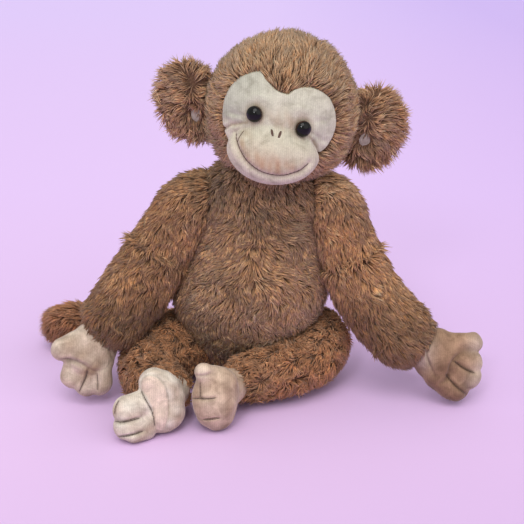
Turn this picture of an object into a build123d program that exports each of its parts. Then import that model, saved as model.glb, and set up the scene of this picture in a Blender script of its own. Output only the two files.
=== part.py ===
# Stuffed monkey, seated on a flat oval base, facing -Y, +Z up, millimetres.
# Sewn plush bags around fibre filling.  Every limb bag is closed by a rounded
# end that lies in a shallow dimple of its neighbour, the place of the seam
# that the limb turns on.  "right" and "left" are the monkey's own sides:
# right is -X, left is +X.
import math
import os

from build123d import *

os.makedirs("parts", exist_ok=True)

# ---------------------------------------------------------------- dimensions
centre_x, centre_y = 3.991, -11.3705  # centre of the whole box, in drawing units
gap = 0.3                         # free play between parts that move
wall = 4.0                        # plush with its flattened pile
panel = 2.5                       # short-nap velour with its backing

seat_z = 66.0                     # underside of the belly above the thighs
torso_top = 196.0
# height, centre x, centre y, half width, half depth
belly_sections = [
    (seat_z, -4, 6, 50, 44),
    (74, -4, 3, 60, 53),
    (95, -3, 2, 66, 59),
    (118, 0, 2, 62, 57),
    (142, 4, 2, 54, 50),
    (166, 7, 2, 48, 43),
    (184, 9, 2, 41, 36),
    (torso_top, 10, 2, 28, 26),
]
seat_cx, seat_cy, seat_rx, seat_ry = -5.0, 30.0, 50.0, 33.0
seat_round = 12.0
base_thick = 3.0                  # sewn-in base panel
bean_r, bean_h = 15.0, 22.0       # pouch of weighting beans

neck_r = 14.0                     # stuffed neck ball
head_r, head_tilt0 = 62.0, 17.0   # head without its pile, leaning to +X
# muzzle: depth in front of the head's centre, half width, half height
muzzle_sections = [(30, 38, 26.5), (46, 39, 27), (60, 36, 25), (71, 26, 18), (78, 12, 8.5)]
eye_d, shank_r, washer_r = 14.0, 1.6, 9.0
ear_r, ear_half = 26.0, 9.0

shoulder_r, elbow_r, wrist_r = 26.0, 24.0, 18.0
hip_r, knee_r, ankle_r = 27.0, 25.0, 17.0
tail_root_r, tail_mid_r = 17.0, 16.0
waist_deg = 60.0                  # where the tail's tip leaves its rounded end
dimple = 0.86                     # depth of a dimple's rim, in ball radii


def at(x, y, z):
    """A point of the drawing, moved to the origin under the box's centre."""
    return Vector(x - centre_x, y - centre_y, z)


neck = at(14, 0, 208)
head = at(22, 0, 272.5)
muzzle = at(18, 0, 243)
shoulder = {"right": at(-60, 0, 178), "left": at(76, 0, 180)}
elbow = {"right": at(-118, -20, 106), "left": at(118, -14, 96)}
wrist = {"right": at(-150, -36, 54), "left": at(163, -31, 50)}
hip = {"right": at(-58, 26, 37), "left": at(48, 26, 37)}
knee = {"right": at(-99, -31, 31), "left": at(68, -14, 33)}
ankle = {"right": at(-79, -84, 26), "left": at(-8, -57, 26)}
tail_root = at(-5, 80, 20)
tail_mid = at(-105, 91, 20)
tail_end = at(-212, 96, 23)

ear_centre = {"right": at(-66, 13, 274), "left": at(111, 10, 249)}
palm = {"right": at(-160, -42, 41), "left": at(184, -39, 36)}
palm_r = {"right": 24.0, "left": 24.0}
fingers = {  # start, tip, radius
    "right": [(at(-168, -45, 32), at(-176, -55, 9.5), 9.5),
              (at(-160, -48, 30), at(-161, -61, 9.0), 9.0),
              (at(-152, -46, 32), at(-146, -56, 9.0), 9.0)],
    "left": [(at(194, -41, 38), at(211, -45, 36), 9.0),
             (at(192, -45, 30), at(208, -55, 18), 9.5),
             (at(187, -48, 28), at(194, -60, 9.0), 9.0)],
}
thumb = {"right": (at(-170, -45, 50), at(-184, -49, 57), 8.5),
         "left": (at(195, -37, 50), at(207, -36, 60), 8.5)}
foot_tip = {"right": at(-118, -123, 27), "left": at(-44, -110, 32)}
foot_r = {"right": 23.5, "left": 23.0}
toes = {
    "right": [at(-116, -114, 33), at(-116, -119, 14), at(-103, -124, 10)],
    "left": [at(-41, -98, 53), at(-46, -105, 34), at(-40, -106, 16)],
}
toe_r = 10.0


def along(a, b):
    """Profile plane with its x axis from a to b, for bodies of revolution."""
    d = (b - a).normalized()
    side = Vector(0, 0, 1) if abs(d.Z) < 0.9 else Vector(0, 1, 0)
    return Plane(origin=a, x_dir=d, z_dir=d.cross(side))


def rim(length, ball):
    """Distance along a limb to the flat rim of its far dimple."""
    return length - dimple * (ball + gap)


phi = math.radians(waist_deg)


# ------------------------------------------------------------------- torso
def torso_ellipse(section, inset):
    z, cx, cy, rx, ry = section
    return at(cx, cy, z), rx - inset, ry - inset


torso_parts = {}
for name, inset in (("outer", 0.0), ("inner", wall), ("core", wall + 0.8)):
    with BuildPart() as belly:
        for i, section in enumerate(belly_sections):
            origin, rx, ry = torso_ellipse(section, inset)
            if inset and i == 0:
                continue
            if inset and i == 1:
                origin, rx, ry = origin + Vector(0, 0, inset - 2), rx - 3, ry - 3
            if i == len(belly_sections) - 1:
                origin -= Vector(0, 0, inset)
            with BuildSketch(Plane(origin=origin)):
                Ellipse(rx, ry)
        loft()
        # seat block under the belly, between and behind the thighs
        bottom = at(seat_cx, seat_cy, base_thick + inset)
        with BuildSketch(Plane(origin=bottom)):
            Ellipse(seat_rx - inset, seat_ry - inset)
        extrude(amount=seat_z + 14.0 - base_thick - inset)
    torso_parts[name] = belly.part

shoulder_cups = [(shoulder[s], shoulder_r) for s in ("right", "left")]
hip_cups = [(hip[s], hip_r) for s in ("right", "left")]
torso_cups = shoulder_cups + hip_cups + [(tail_root, tail_root_r), (neck, neck_r)]

with BuildPart() as torso_skin:
    add(torso_parts["outer"])
    with BuildPart(mode=Mode.PRIVATE) as torso_hollow:
        add(torso_parts["inner"])
        for c, r in torso_cups:
            with Locations(c):
                Sphere(r + gap + 3.0, mode=Mode.SUBTRACT)
    for c, r in torso_cups:
        with Locations(c):
            Sphere(r + gap, mode=Mode.SUBTRACT)
    add(torso_hollow.part, mode=Mode.SUBTRACT)

# the plush is cut as a front and a back, sewn down both sides
side_seam = Plane(origin=at(0, 4, 0), x_dir=(1, 0, 0), z_dir=(0, 1, 0))
with BuildPart() as torso_skin_front:
    add(torso_skin.part)
    split(bisect_by=side_seam, keep=Keep.BOTTOM)
torso_skin_front.part.label = "torso_skin_front"
export_step(torso_skin_front.part, "parts/torso_skin_front.step")

with BuildPart() as torso_skin_back:
    add(torso_skin.part)
    split(bisect_by=side_seam, keep=Keep.TOP)
torso_skin_back.part.label = "torso_skin_back"
export_step(torso_skin_back.part, "parts/torso_skin_back.step")

with BuildPart() as seat_panel:
    with BuildSketch(Plane(origin=at(seat_cx, seat_cy + 2, 0))):
        Ellipse(seat_rx - 6, seat_ry - 5)
    extrude(amount=base_thick)
    chamfer(seat_panel.edges().group_by(Axis.Z)[0], 1.0)
    for s in ("right", "left"):
        with Locations(hip[s]):
            Sphere(hip_r + 11.0, mode=Mode.SUBTRACT)
seat_panel.part.label = "seat_panel"
export_step(seat_panel.part, "parts/seat_panel.step")

bean_at = at(seat_cx, seat_cy + 11, base_thick + wall + 6)
with BuildPart() as torso_stuffing:
    add(torso_parts["core"])
    for c, r in torso_cups:
        with Locations(c):
            Sphere(r + gap + 3.0 + gap, mode=Mode.SUBTRACT)
    with Locations(bean_at):
        Cylinder(bean_r + gap, bean_h + 2 * gap,
                 align=(Align.CENTER, Align.CENTER, Align.MIN),
                 mode=Mode.SUBTRACT)
torso_stuffing.part.label = "torso_stuffing"
export_step(torso_stuffing.part, "parts/torso_stuffing.step")

with BuildPart() as seat_bean_bag:
    with Locations(bean_at + Vector(0, 0, gap)):
        Cylinder(bean_r, bean_h, align=(Align.CENTER, Align.CENTER, Align.MIN))
    fillet(seat_bean_bag.edges().filter_by(GeomType.CIRCLE), 5.0)
seat_bean_bag.part.label = "seat_bean_bag"
export_step(seat_bean_bag.part, "parts/seat_bean_bag.step")

# blank care label, a folded tape caught in the back
with BuildPart() as sewn_label:
    with BuildSketch(Plane(origin=at(24, 66.3, 48))):
        Rectangle(0.8, 18)
    extrude(amount=14)
sewn_label.part.label = "sewn_label"
export_step(sewn_label.part, "parts/sewn_label.step")

# -------------------------------------------------------------------- neck
ring_z = torso_top + 0.3 + 0.8
with BuildPart() as neck_stitching:
    with BuildSketch(Plane(origin=Vector(neck.X, neck.Y, ring_z),
                           x_dir=(1, 0, 0), z_dir=(0, -1, 0))):
        with Locations((13.0, 0)):
            Circle(0.8)
    revolve(axis=Axis((neck.X, neck.Y, ring_z), (0, 0, 1)))
neck_stitching.part.label = "neck_stitching"
export_step(neck_stitching.part, "parts/neck_stitching.step")

with BuildPart() as neck_stuffing:
    with Locations(neck):
        Sphere(neck_r)
neck_stuffing.part.label = "neck_stuffing"
export_step(neck_stuffing.part, "parts/neck_stuffing.step")

# -------------------------------------------------------------------- head
lean = math.radians(head_tilt0)
head_x = Vector(math.cos(lean), 0, -math.sin(lean))   # the head's own left
head_z = Vector(math.sin(lean), 0, math.cos(lean))    # the head's own up


def on_head(x, y, z):
    """A point given in the leaning head's own axes."""
    return head + head_x * x + Vector(0, y, 0) + head_z * z


eye_dir = {"right": Vector(0, 0, 0), "left": Vector(0, 0, 0)}
for s, sx in (("right", -1), ("left", 1)):
    eye_dir[s] = (on_head(21.4 * sx, -60.8, 1.0) - head).normalized()
panel_r = head_r + panel
ear_seat = {}
for s in ("right", "left"):
    out = (ear_centre[s] - head).normalized()
    ear_seat[s] = head + out * (head_r + 6.5)   # centre of the ear's root
ear_root_r = 9.0

# the plush of the head meets along a seam over the crown, ear to ear
for half, way in (("front", -1), ("back", 1)):
    with BuildPart() as head_skin:
        with BuildSketch(Plane(origin=head, x_dir=(0, way, 0), z_dir=(0, 0, 1))):
            with BuildLine():
                CenterArc((0, 0), head_r, 0, 90)
                CenterArc((0, 0), head_r - wall, 0, 90)
                Line((head_r - wall, 0), (head_r, 0))
                Line((0, head_r - wall), (0, head_r))
            make_face()
        revolve(axis=Axis(head, (0, 1, 0)))
        with Locations(neck):
            Sphere(neck_r + gap, mode=Mode.SUBTRACT)
        for s in ("right", "left"):
            with Locations(ear_seat[s]):
                Sphere(ear_root_r + gap, mode=Mode.SUBTRACT)
            if half == "front":
                with BuildSketch(Plane(origin=head, x_dir=head_z, z_dir=eye_dir[s])):
                    Circle(shank_r + 0.3)
                extrude(amount=head_r + 10, mode=Mode.SUBTRACT)
    head_skin.part.label = f"head_skin_{half}"
    export_step(head_skin.part, f"parts/head_skin_{half}.step")

with BuildPart() as head_stuffing:
    with Locations(head):
        Sphere(head_r - wall - gap)
    with Locations(neck):
        Sphere(neck_r + gap, mode=Mode.SUBTRACT)
    for s in ("right", "left"):
        with BuildSketch(Plane(origin=head, x_dir=head_z, z_dir=eye_dir[s])
                         .offset(head_r - wall - 12)):
            Circle(washer_r + 0.4)
        extrude(amount=20, mode=Mode.SUBTRACT)
head_stuffing.part.label = "head_stuffing"
export_step(head_stuffing.part, "parts/head_stuffing.step")

# velour face: two round lobes that meet in a notch over the brow
face_plane = Plane(origin=head, x_dir=head_x, z_dir=(0, -1, 0))
muzzle_plane = Plane(origin=muzzle, x_dir=head_x, z_dir=(0, -1, 0))
muzzle_shapes = {}
for name, inset in (("outer", 0.0), ("inner", panel), ("core", panel + 0.3), ("proud", -1.0)):
    with BuildPart() as muzzle_solid:
        for y, rx, rz in muzzle_sections:
            last = y == muzzle_sections[-1][0]
            with BuildSketch(muzzle_plane.offset(y - (inset if last else 0))):
                Ellipse(rx - inset, rz - inset)
        loft()
    muzzle_shapes[name] = muzzle_solid.part

with BuildPart() as face_panel:
    with Locations(head):
        Sphere(panel_r)
        Sphere(head_r + 0.05, mode=Mode.SUBTRACT)
    with BuildSketch(face_plane):
        with Locations((-19, 7), (19, 7)):
            Circle(24)
        with Locations((0, -8)):
            Rectangle(60, 30)
    extrude(amount=90, mode=Mode.INTERSECT)
    add(muzzle_shapes["outer"], mode=Mode.SUBTRACT)
    for s in ("right", "left"):
        with BuildSketch(Plane(origin=head, x_dir=head_z, z_dir=eye_dir[s])):
            Circle(shank_r + 0.3)
        extrude(amount=head_r + 10, mode=Mode.SUBTRACT)
face_panel.part.label = "face_panel"
export_step(face_panel.part, "parts/face_panel.step")

smile_centre, smile_r = (0.0, 22.0), 36.0
with BuildPart() as muzzle_panel:
    add(muzzle_shapes["outer"])
    with BuildSketch(muzzle_plane):
        with Locations(smile_centre):
            Circle(smile_r - 0.05)
    extrude(amount=90, mode=Mode.INTERSECT)
    with Locations(head):
        Sphere(head_r + 0.05, mode=Mode.SUBTRACT)
    add(muzzle_shapes["inner"], mode=Mode.SUBTRACT)
muzzle_panel.part.label = "muzzle_panel"
export_step(muzzle_panel.part, "parts/muzzle_panel.step")

with BuildPart() as chin_panel:
    add(muzzle_shapes["outer"])
    with BuildSketch(muzzle_plane):
        Rectangle(140, 140)
        with Locations(smile_centre):
            Circle(smile_r + 0.05, mode=Mode.SUBTRACT)
    extrude(amount=90, mode=Mode.INTERSECT)
    with Locations(head):
        Sphere(head_r + 0.05, mode=Mode.SUBTRACT)
    add(muzzle_shapes["inner"], mode=Mode.SUBTRACT)
chin_panel.part.label = "chin_panel"
export_step(chin_panel.part, "parts/chin_panel.step")

with BuildPart() as muzzle_stuffing:
    add(muzzle_shapes["core"])
    with Locations(head):
        Sphere(head_r + 0.3, mode=Mode.SUBTRACT)
muzzle_stuffing.part.label = "muzzle_stuffing"
export_step(muzzle_stuffing.part, "parts/muzzle_stuffing.step")

# embroidered smile: a raised line of stitches on the muzzle
with BuildPart() as mouth_stitches:
    add(muzzle_shapes["proud"])
    with BuildSketch(muzzle_plane.offset(56)):
        with Locations(smile_centre):
            Circle(smile_r + 0.7)
            Circle(smile_r - 0.7, mode=Mode.SUBTRACT)
        with Locations((0, 40)):
            Rectangle(90, 60, mode=Mode.SUBTRACT)
    extrude(amount=40, mode=Mode.INTERSECT)
    add(muzzle_shapes["outer"], mode=Mode.SUBTRACT)
mouth_stitches.part.label = "mouth_stitches"
export_step(mouth_stitches.part, "parts/mouth_stitches.step")

# two slanted bars of satin stitch lying on the muzzle
with BuildPart() as nostril_stitches:
    for dx, slant in ((-3.6, 0.25), (3.6, 0.1)):
        start = muzzle + head_x * dx + head_z * 17.6 + Vector(0, -73.6, 0)
        bar = (Vector(0, 0.75, 0) + head_z * 0.66 + head_x * slant).normalized()
        with BuildSketch(Plane(origin=start, x_dir=head_x, z_dir=bar)):
            Circle(0.8)
        extrude(amount=5.8)
nostril_stitches.part.label = "nostril_stitches"
export_step(nostril_stitches.part, "parts/nostril_stitches.step")

for side in ("right", "left"):
    d = eye_dir[side]
    eye_plane = along(head + d * (panel_r + 0.05), head + d * (panel_r + 10))
    with BuildPart() as eye:
        with BuildSketch(eye_plane):
            with BuildLine():
                Polyline((6.4, 0), (-13, 0), (-13, shank_r), (0, shank_r),
                         (0, eye_d / 2), (0.8, eye_d / 2))
                Spline((0.8, eye_d / 2), (4.4, 5.3), (6.4, 0),
                       tangents=((1, 0), (0, -1)))
            make_face()
        revolve(axis=Axis(eye_plane.origin, eye_plane.x_dir))
    eye.part.label = f"eye_{side}"
    export_step(eye.part, f"parts/eye_{side}.step")

    with BuildPart() as eye_washer:
        with BuildSketch(Plane(origin=head, x_dir=head_z, z_dir=d)
                         .offset(head_r - wall - 4)):
            Circle(washer_r)
            Circle(shank_r + 0.05, mode=Mode.SUBTRACT)
        extrude(amount=1.5)
    eye_washer.part.label = f"eye_washer_{side}"
    export_step(eye_washer.part, f"parts/eye_washer_{side}.step")

    # -------------------------------------------------------------- ears
    c, root = ear_centre[side], ear_seat[side]
    out = (c - head).normalized()
    flat = Vector(out.X, 0, out.Z).normalized()
    face_out = Vector(0, -1, 0)
    disc = Plane(origin=c, x_dir=flat, z_dir=flat.cross(face_out))
    with BuildPart() as ear_fur:
        with BuildSketch(Plane(origin=c, x_dir=flat, z_dir=flat.cross(face_out))):
            with BuildLine():
                Line((0, -ear_half), (0, ear_half))
                Line((0, ear_half), (ear_r - 9, ear_half))
                ThreePointArc((ear_r - 9, ear_half), (ear_r, 0), (ear_r - 9, -ear_half))
                Line((ear_r - 9, -ear_half), (0, -ear_half))
            make_face()
        revolve(axis=Axis(c, face_out))
        with BuildSketch(Plane(origin=c, x_dir=flat, z_dir=face_out)
                         .offset(ear_half - 2.2)):
            Circle(15.0)
        extrude(amount=4, mode=Mode.SUBTRACT)
        with Locations(head):
            Sphere(head_r + 3.0, mode=Mode.SUBTRACT)
        with Locations(root):
            Sphere(ear_root_r)
    ear_fur.part.label = f"ear_fur_{side}"
    export_step(ear_fur.part, f"parts/ear_fur_{side}.step")

    with BuildPart() as ear_lining:
        with BuildSketch(Plane(origin=c, x_dir=flat, z_dir=face_out)
                         .offset(ear_half - 2.1)):
            Circle(14.8)
        extrude(amount=2.1)
        with Locations(root):
            Sphere(ear_root_r + 0.1, mode=Mode.SUBTRACT)
        with Locations(head):
            Sphere(head_r + 3.0, mode=Mode.SUBTRACT)
    ear_lining.part.label = f"ear_lining_{side}"
    export_step(ear_lining.part, f"parts/ear_lining_{side}.step")

# --------------------------------------------------------- arms, legs, tail
# name, start, end, ball at the start, ball of the next part, radii at half
# length and at the rim, degrees from the axis where it leaves its ball
segments = []
for side in ("right", "left"):
    segments += [
        (f"upper_arm_%s_{side}", shoulder[side], elbow[side], shoulder_r, elbow_r, 25.5, 24.5, 60),
        (f"forearm_%s_{side}", elbow[side], wrist[side], elbow_r, wrist_r, 23.0, 20.5, 60),
        (f"thigh_%s_{side}", hip[side], knee[side], hip_r, knee_r, 26.5, 25.5, 60),
        (f"shin_%s_{side}", knee[side], ankle[side], knee_r, ankle_r, 24.0, 20.5, 60),
    ]
segments.append(("tail_base_%s", tail_root, tail_mid, tail_root_r, tail_mid_r, 16.5, 16.0, 60))

for name, start, end, ball, next_ball, mid_r, rim_r, leave_deg in segments:
    length = (end - start).length
    s_end = rim(length, next_ball)
    cup = next_ball + gap
    cup_rim = math.sqrt(cup**2 - (length - s_end) ** 2)
    k = math.radians(leave_deg)
    s_mid = ball * math.cos(k) + 0.55 * (s_end - ball * math.cos(k))
    leave = (math.sin(k), -math.cos(k))

    with BuildPart() as limb_skin:
        with BuildSketch(along(start, end)):
            with BuildLine():
                o, i = ball, ball - wall
                CenterArc((0, 0), o, leave_deg, 180 - leave_deg)
                Spline((o * math.cos(k), o * math.sin(k)), (s_mid, mid_r),
                       (s_end, rim_r), tangents=(leave, (1, -0.06)))
                Line((s_end, rim_r), (s_end, rim_r - wall))
                Spline((i * math.cos(k), i * math.sin(k)), (s_mid, mid_r - wall),
                       (s_end, rim_r - wall), tangents=(leave, (1, -0.06)))
                CenterArc((0, 0), i, leave_deg, 180 - leave_deg)
                Line((-i, 0), (-o, 0))
            make_face()
        revolve(axis=Axis(start, end - start))
    limb_skin.part.label = name % "skin"
    export_step(limb_skin.part, "parts/" + name % "skin" + ".step")

    with BuildPart() as limb_stuffing:
        with BuildSketch(along(start, end)):
            with BuildLine():
                i = ball - wall - gap
                m, e = mid_r - wall - gap, rim_r - wall - gap
                CenterArc((0, 0), i, leave_deg, 180 - leave_deg)
                Spline((i * math.cos(k), i * math.sin(k)), (s_mid, m),
                       (s_end, e), tangents=(leave, (1, -0.06)))
                Line((s_end, e), (s_end, cup_rim))
                ThreePointArc((s_end, cup_rim),
                              (length - cup * math.cos(0.26), cup * math.sin(0.26)),
                              (length - cup, 0))
                Line((length - cup, 0), (-i, 0))
            make_face()
        revolve(axis=Axis(start, end - start))
    limb_stuffing.part.label = name % "stuffing"
    export_step(limb_stuffing.part, "parts/" + name % "stuffing" + ".step")

# the tail's tufted end, closed all round but for its mouth at the seam
tip_len = (tail_end - tail_mid).length
with BuildPart() as tail_tip_skin:
    with BuildSketch(along(tail_mid, tail_end)):
        with BuildLine():
            CenterArc((0, 0), tail_mid_r, waist_deg, 180 - waist_deg - 20)
            Spline((tail_mid_r * math.cos(phi), tail_mid_r * math.sin(phi)),
                   (tip_len * 0.55, 16.5), (tip_len - 9, 11), (tip_len, 0),
                   tangents=((math.sin(phi), -math.cos(phi)), (0, -1)))
            Line((tip_len, 0), (tip_len - wall, 0))
            b = tail_mid_r - wall
            Spline((b * math.cos(phi), b * math.sin(phi)), (tip_len * 0.55, 12.5),
                   (tip_len - 11, 8), (tip_len - wall, 0),
                   tangents=((math.sin(phi), -math.cos(phi)), (0, -1)))
            CenterArc((0, 0), b, waist_deg, 180 - waist_deg - 20)
            m1 = math.radians(160)
            Line((b * math.cos(m1), b * math.sin(m1)),
                 (tail_mid_r * math.cos(m1), tail_mid_r * math.sin(m1)))
        make_face()
    revolve(axis=Axis(tail_mid, tail_end - tail_mid))
tail_tip_skin.part.label = "tail_tip_skin"
export_step(tail_tip_skin.part, "parts/tail_tip_skin.step")

with BuildPart() as tail_tip_stuffing:
    with BuildSketch(along(tail_mid, tail_end)):
        with BuildLine():
            b = tail_mid_r - wall - gap
            CenterArc((0, 0), b, waist_deg, 180 - waist_deg)
            Spline((b * math.cos(phi), b * math.sin(phi)), (tip_len * 0.55, 12.2),
                   (tip_len - 11.3, 7.7), (tip_len - wall - gap, 0),
                   tangents=((math.sin(phi), -math.cos(phi)), (0, -1)))
            Line((tip_len - wall - gap, 0), (-b, 0))
        make_face()
    revolve(axis=Axis(tail_mid, tail_end - tail_mid))
tail_tip_stuffing.part.label = "tail_tip_stuffing"
export_step(tail_tip_stuffing.part, "parts/tail_tip_stuffing.step")

# -------------------------------------------------------------- hands, feet
for side in ("right", "left"):
    w, p, pr = wrist[side], palm[side], palm_r[side]
    f0 = fingers[side]
    n = (p - w).length
    # where the ball of the wrist and the ball of the palm meet
    meet = (n**2 + wrist_r**2 - pr**2) / (2 * n)
    hand_a = math.degrees(math.acos(meet / wrist_r))
    hand_b = math.degrees(math.acos((meet - n) / pr))
    with BuildPart() as hand_skin:
        with BuildSketch(along(w, p)):
            with BuildLine():
                CenterArc((0, 0), wrist_r, hand_a, 180 - hand_a)
                CenterArc((n, 0), pr, 0, hand_b)
                Line((-wrist_r, 0), (n + pr, 0))
            make_face()
        revolve(axis=Axis(w, p - w))
        for a, b, r in f0 + [thumb[side]]:
            with Locations(a, b):
                Sphere(r)
            with BuildSketch(Plane(origin=a, z_dir=(b - a))):
                Circle(r)
            extrude(amount=(b - a).length)
        # room for the filling, open at the wrist
        with BuildSketch(along(w, p)):
            with BuildLine():
                i, j = wrist_r - panel, pr - panel
                m = (n**2 + i**2 - j**2) / (2 * n)
                u = math.degrees(math.acos(m / i))
                CenterArc((0, 0), i, u, 180 - u)
                CenterArc((n, 0), j, 0, math.degrees(math.acos((m - n) / j)))
                Line((-i, 0), (n + j, 0))
            make_face()
        revolve(axis=Axis(w, p - w), mode=Mode.SUBTRACT)
        with BuildSketch(Plane(origin=w, z_dir=(w - p))):
            Circle(5.0)
        extrude(amount=wrist_r + 5, mode=Mode.SUBTRACT)
    hand_skin.part.label = f"hand_skin_{side}"
    export_step(hand_skin.part, f"parts/hand_skin_{side}.step")

    with BuildPart() as hand_stuffing:
        with BuildSketch(along(w, p)):
            with BuildLine():
                i, j = wrist_r - panel - gap, pr - panel - gap
                m = (n**2 + i**2 - j**2) / (2 * n)
                u = math.degrees(math.acos(m / i))
                CenterArc((0, 0), i, u, 180 - u)
                CenterArc((n, 0), j, 0, math.degrees(math.acos((m - n) / j)))
                Line((-i, 0), (n + j, 0))
            make_face()
        revolve(axis=Axis(w, p - w))
    hand_stuffing.part.label = f"hand_stuffing_{side}"
    export_step(hand_stuffing.part, f"parts/hand_stuffing_{side}.step")

    a, t, fr = ankle[side], foot_tip[side], foot_r[side]
    n = (t - a).length
    d = (t - a).normalized()
    mid = a + d * (n * 0.56)
    with BuildPart() as foot_skin:
        with BuildSketch(along(a, t)):
            with BuildLine():
                CenterArc((0, 0), ankle_r, 65, 95)
                Spline((ankle_r * math.cos(math.radians(65)), ankle_r * math.sin(math.radians(65))),
                       (n * 0.56, fr), (n + 4, 0),
                       tangents=((1, 0.0), (0, -1)))
                Line((n + 4, 0), (n + 4 - panel, 0))
                h = ankle_r - panel
                Spline((h * math.cos(math.radians(65)), h * math.sin(math.radians(65))),
                       (n * 0.56, fr - panel), (n + 4 - panel, 0),
                       tangents=((1, 0.0), (0, -1)))
                CenterArc((0, 0), h, 65, 95)
                m1 = math.radians(160)
                Line((h * math.cos(m1), h * math.sin(m1)),
                     (ankle_r * math.cos(m1), ankle_r * math.sin(m1)))
            make_face()
        revolve(axis=Axis(a, t - a))
        with Locations(*toes[side]):
            Sphere(toe_r)
        # the filling's room stays clear of the toes
        with BuildSketch(along(a, t)):
            with BuildLine():
                h = ankle_r - panel
                k = math.radians(65)
                CenterArc((0, 0), h, 65, 115)
                Spline((h * math.cos(k), h * math.sin(k)), (n * 0.56, fr - panel),
                       (n + 4 - panel, 0), tangents=((1, 0.0), (0, -1)))
                Line((n + 4 - panel, 0), (-h, 0))
            make_face()
        revolve(axis=Axis(a, t - a), mode=Mode.SUBTRACT)
    foot_skin.part.label = f"foot_skin_{side}"
    export_step(foot_skin.part, f"parts/foot_skin_{side}.step")

    with BuildPart() as foot_stuffing:
        with BuildSketch(along(a, t)):
            with BuildLine():
                h = ankle_r - panel - gap
                k = math.radians(65)
                CenterArc((0, 0), h, 65, 115)
                Spline((h * math.cos(k), h * math.sin(k)), (n * 0.56, fr - panel - gap),
                       (n + 4 - panel - gap, 0), tangents=((1, 0.0), (0, -1)))
                Line((n + 4 - panel - gap, 0), (-h, 0))
            make_face()
        revolve(axis=Axis(a, t - a))
    foot_stuffing.part.label = f"foot_stuffing_{side}"
    export_step(foot_stuffing.part, f"parts/foot_stuffing_{side}.step")
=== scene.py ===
import math

import bmesh
import bpy
import numpy as np
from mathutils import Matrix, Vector
from mathutils.bvhtree import BVHTree


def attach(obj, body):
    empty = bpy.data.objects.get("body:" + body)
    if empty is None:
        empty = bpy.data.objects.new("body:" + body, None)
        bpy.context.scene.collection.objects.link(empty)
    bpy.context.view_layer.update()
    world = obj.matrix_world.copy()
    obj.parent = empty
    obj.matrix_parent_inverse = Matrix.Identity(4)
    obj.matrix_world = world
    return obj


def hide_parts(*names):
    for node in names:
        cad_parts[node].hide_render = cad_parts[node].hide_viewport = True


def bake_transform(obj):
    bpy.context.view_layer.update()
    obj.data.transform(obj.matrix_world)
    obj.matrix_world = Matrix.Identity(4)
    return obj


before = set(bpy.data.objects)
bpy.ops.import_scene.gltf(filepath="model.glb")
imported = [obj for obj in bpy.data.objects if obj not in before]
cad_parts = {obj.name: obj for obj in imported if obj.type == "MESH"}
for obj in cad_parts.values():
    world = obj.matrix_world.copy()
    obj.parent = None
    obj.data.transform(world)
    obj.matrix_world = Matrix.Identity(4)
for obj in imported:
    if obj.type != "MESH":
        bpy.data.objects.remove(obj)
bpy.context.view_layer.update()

# ---------------------------------------------------------------- units
# Shapes below are in millimetres in the toy's drawing; SHIFT moves them into the frame.
MM = 0.001
SHIFT = np.array([-3.991, 11.3705, 0.0])
FLOOR = 0.45


def A(*v):
    return np.array(v, float)


def unit(v):
    v = np.asarray(v, float)
    return v / np.maximum(np.linalg.norm(v, axis=-1, keepdims=True), 1e-9)


def point(p):
    return tuple((np.asarray(p, float) + SHIFT) * MM)


def smooth(a, b, x):
    t = np.clip((x - a) / (b - a), 0, 1)
    return t * t * (3 - 2 * t)


def waves(P, size, seed, n=7):
    """Smooth vector noise, about -1 to 1, with features of that size in mm."""
    r = np.random.RandomState(seed)
    out = np.zeros((len(P), 3))
    for axis in range(3):
        k = unit(r.normal(size=(n, 3))) * (2 * math.pi / size) * r.uniform(0.6, 1.5, (n, 1))
        ph = r.uniform(0, 2 * math.pi, n)
        out[:, axis] = np.sin(P @ k.T + ph).sum(axis=1) / math.sqrt(n / 2.0)
    return out * 0.6


# ---------------------------------------------------------------- meshes
def new_mesh(name, V, F, colours=None, smooth_faces=True, quads=False):
    """A mesh object from millimetre points and triangles (or quads)."""
    V = np.asarray(V, float)
    F = np.asarray(F, np.int32)
    k = F.shape[1]
    me = bpy.data.meshes.new(name)
    me.vertices.add(len(V))
    me.vertices.foreach_set("co", ((V + SHIFT) * MM).astype(np.float32).ravel())
    me.loops.add(F.size)
    me.loops.foreach_set("vertex_index", F.ravel())
    me.polygons.add(len(F))
    me.polygons.foreach_set("loop_start", np.arange(0, F.size, k, dtype=np.int32))
    me.polygons.foreach_set("use_smooth", np.full(len(F), smooth_faces))
    me.update(calc_edges=True)
    if colours is not None:
        paint(me, colours)
    ob = bpy.data.objects.new(name, me)
    bpy.context.scene.collection.objects.link(ob)
    return ob


def paint(me, colours):
    c = np.ones((len(colours), 4), np.float32)
    c[:, :3] = colours
    at = me.color_attributes.get("tint") or me.color_attributes.new("tint", "FLOAT_COLOR", "POINT")
    at.data.foreach_set("color", c.ravel())


def linear(c):
    c = np.asarray(c, float) / 255.0
    return np.where(c <= 0.04045, c / 12.92, ((c + 0.055) / 1.055) ** 2.4)


def normals_of(V, F):
    n = np.cross(V[F[:, 1]] - V[F[:, 0]], V[F[:, 2]] - V[F[:, 0]])
    out = np.zeros_like(V)
    for k in range(3):
        np.add.at(out, F[:, k], n)
    return unit(out)


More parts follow.
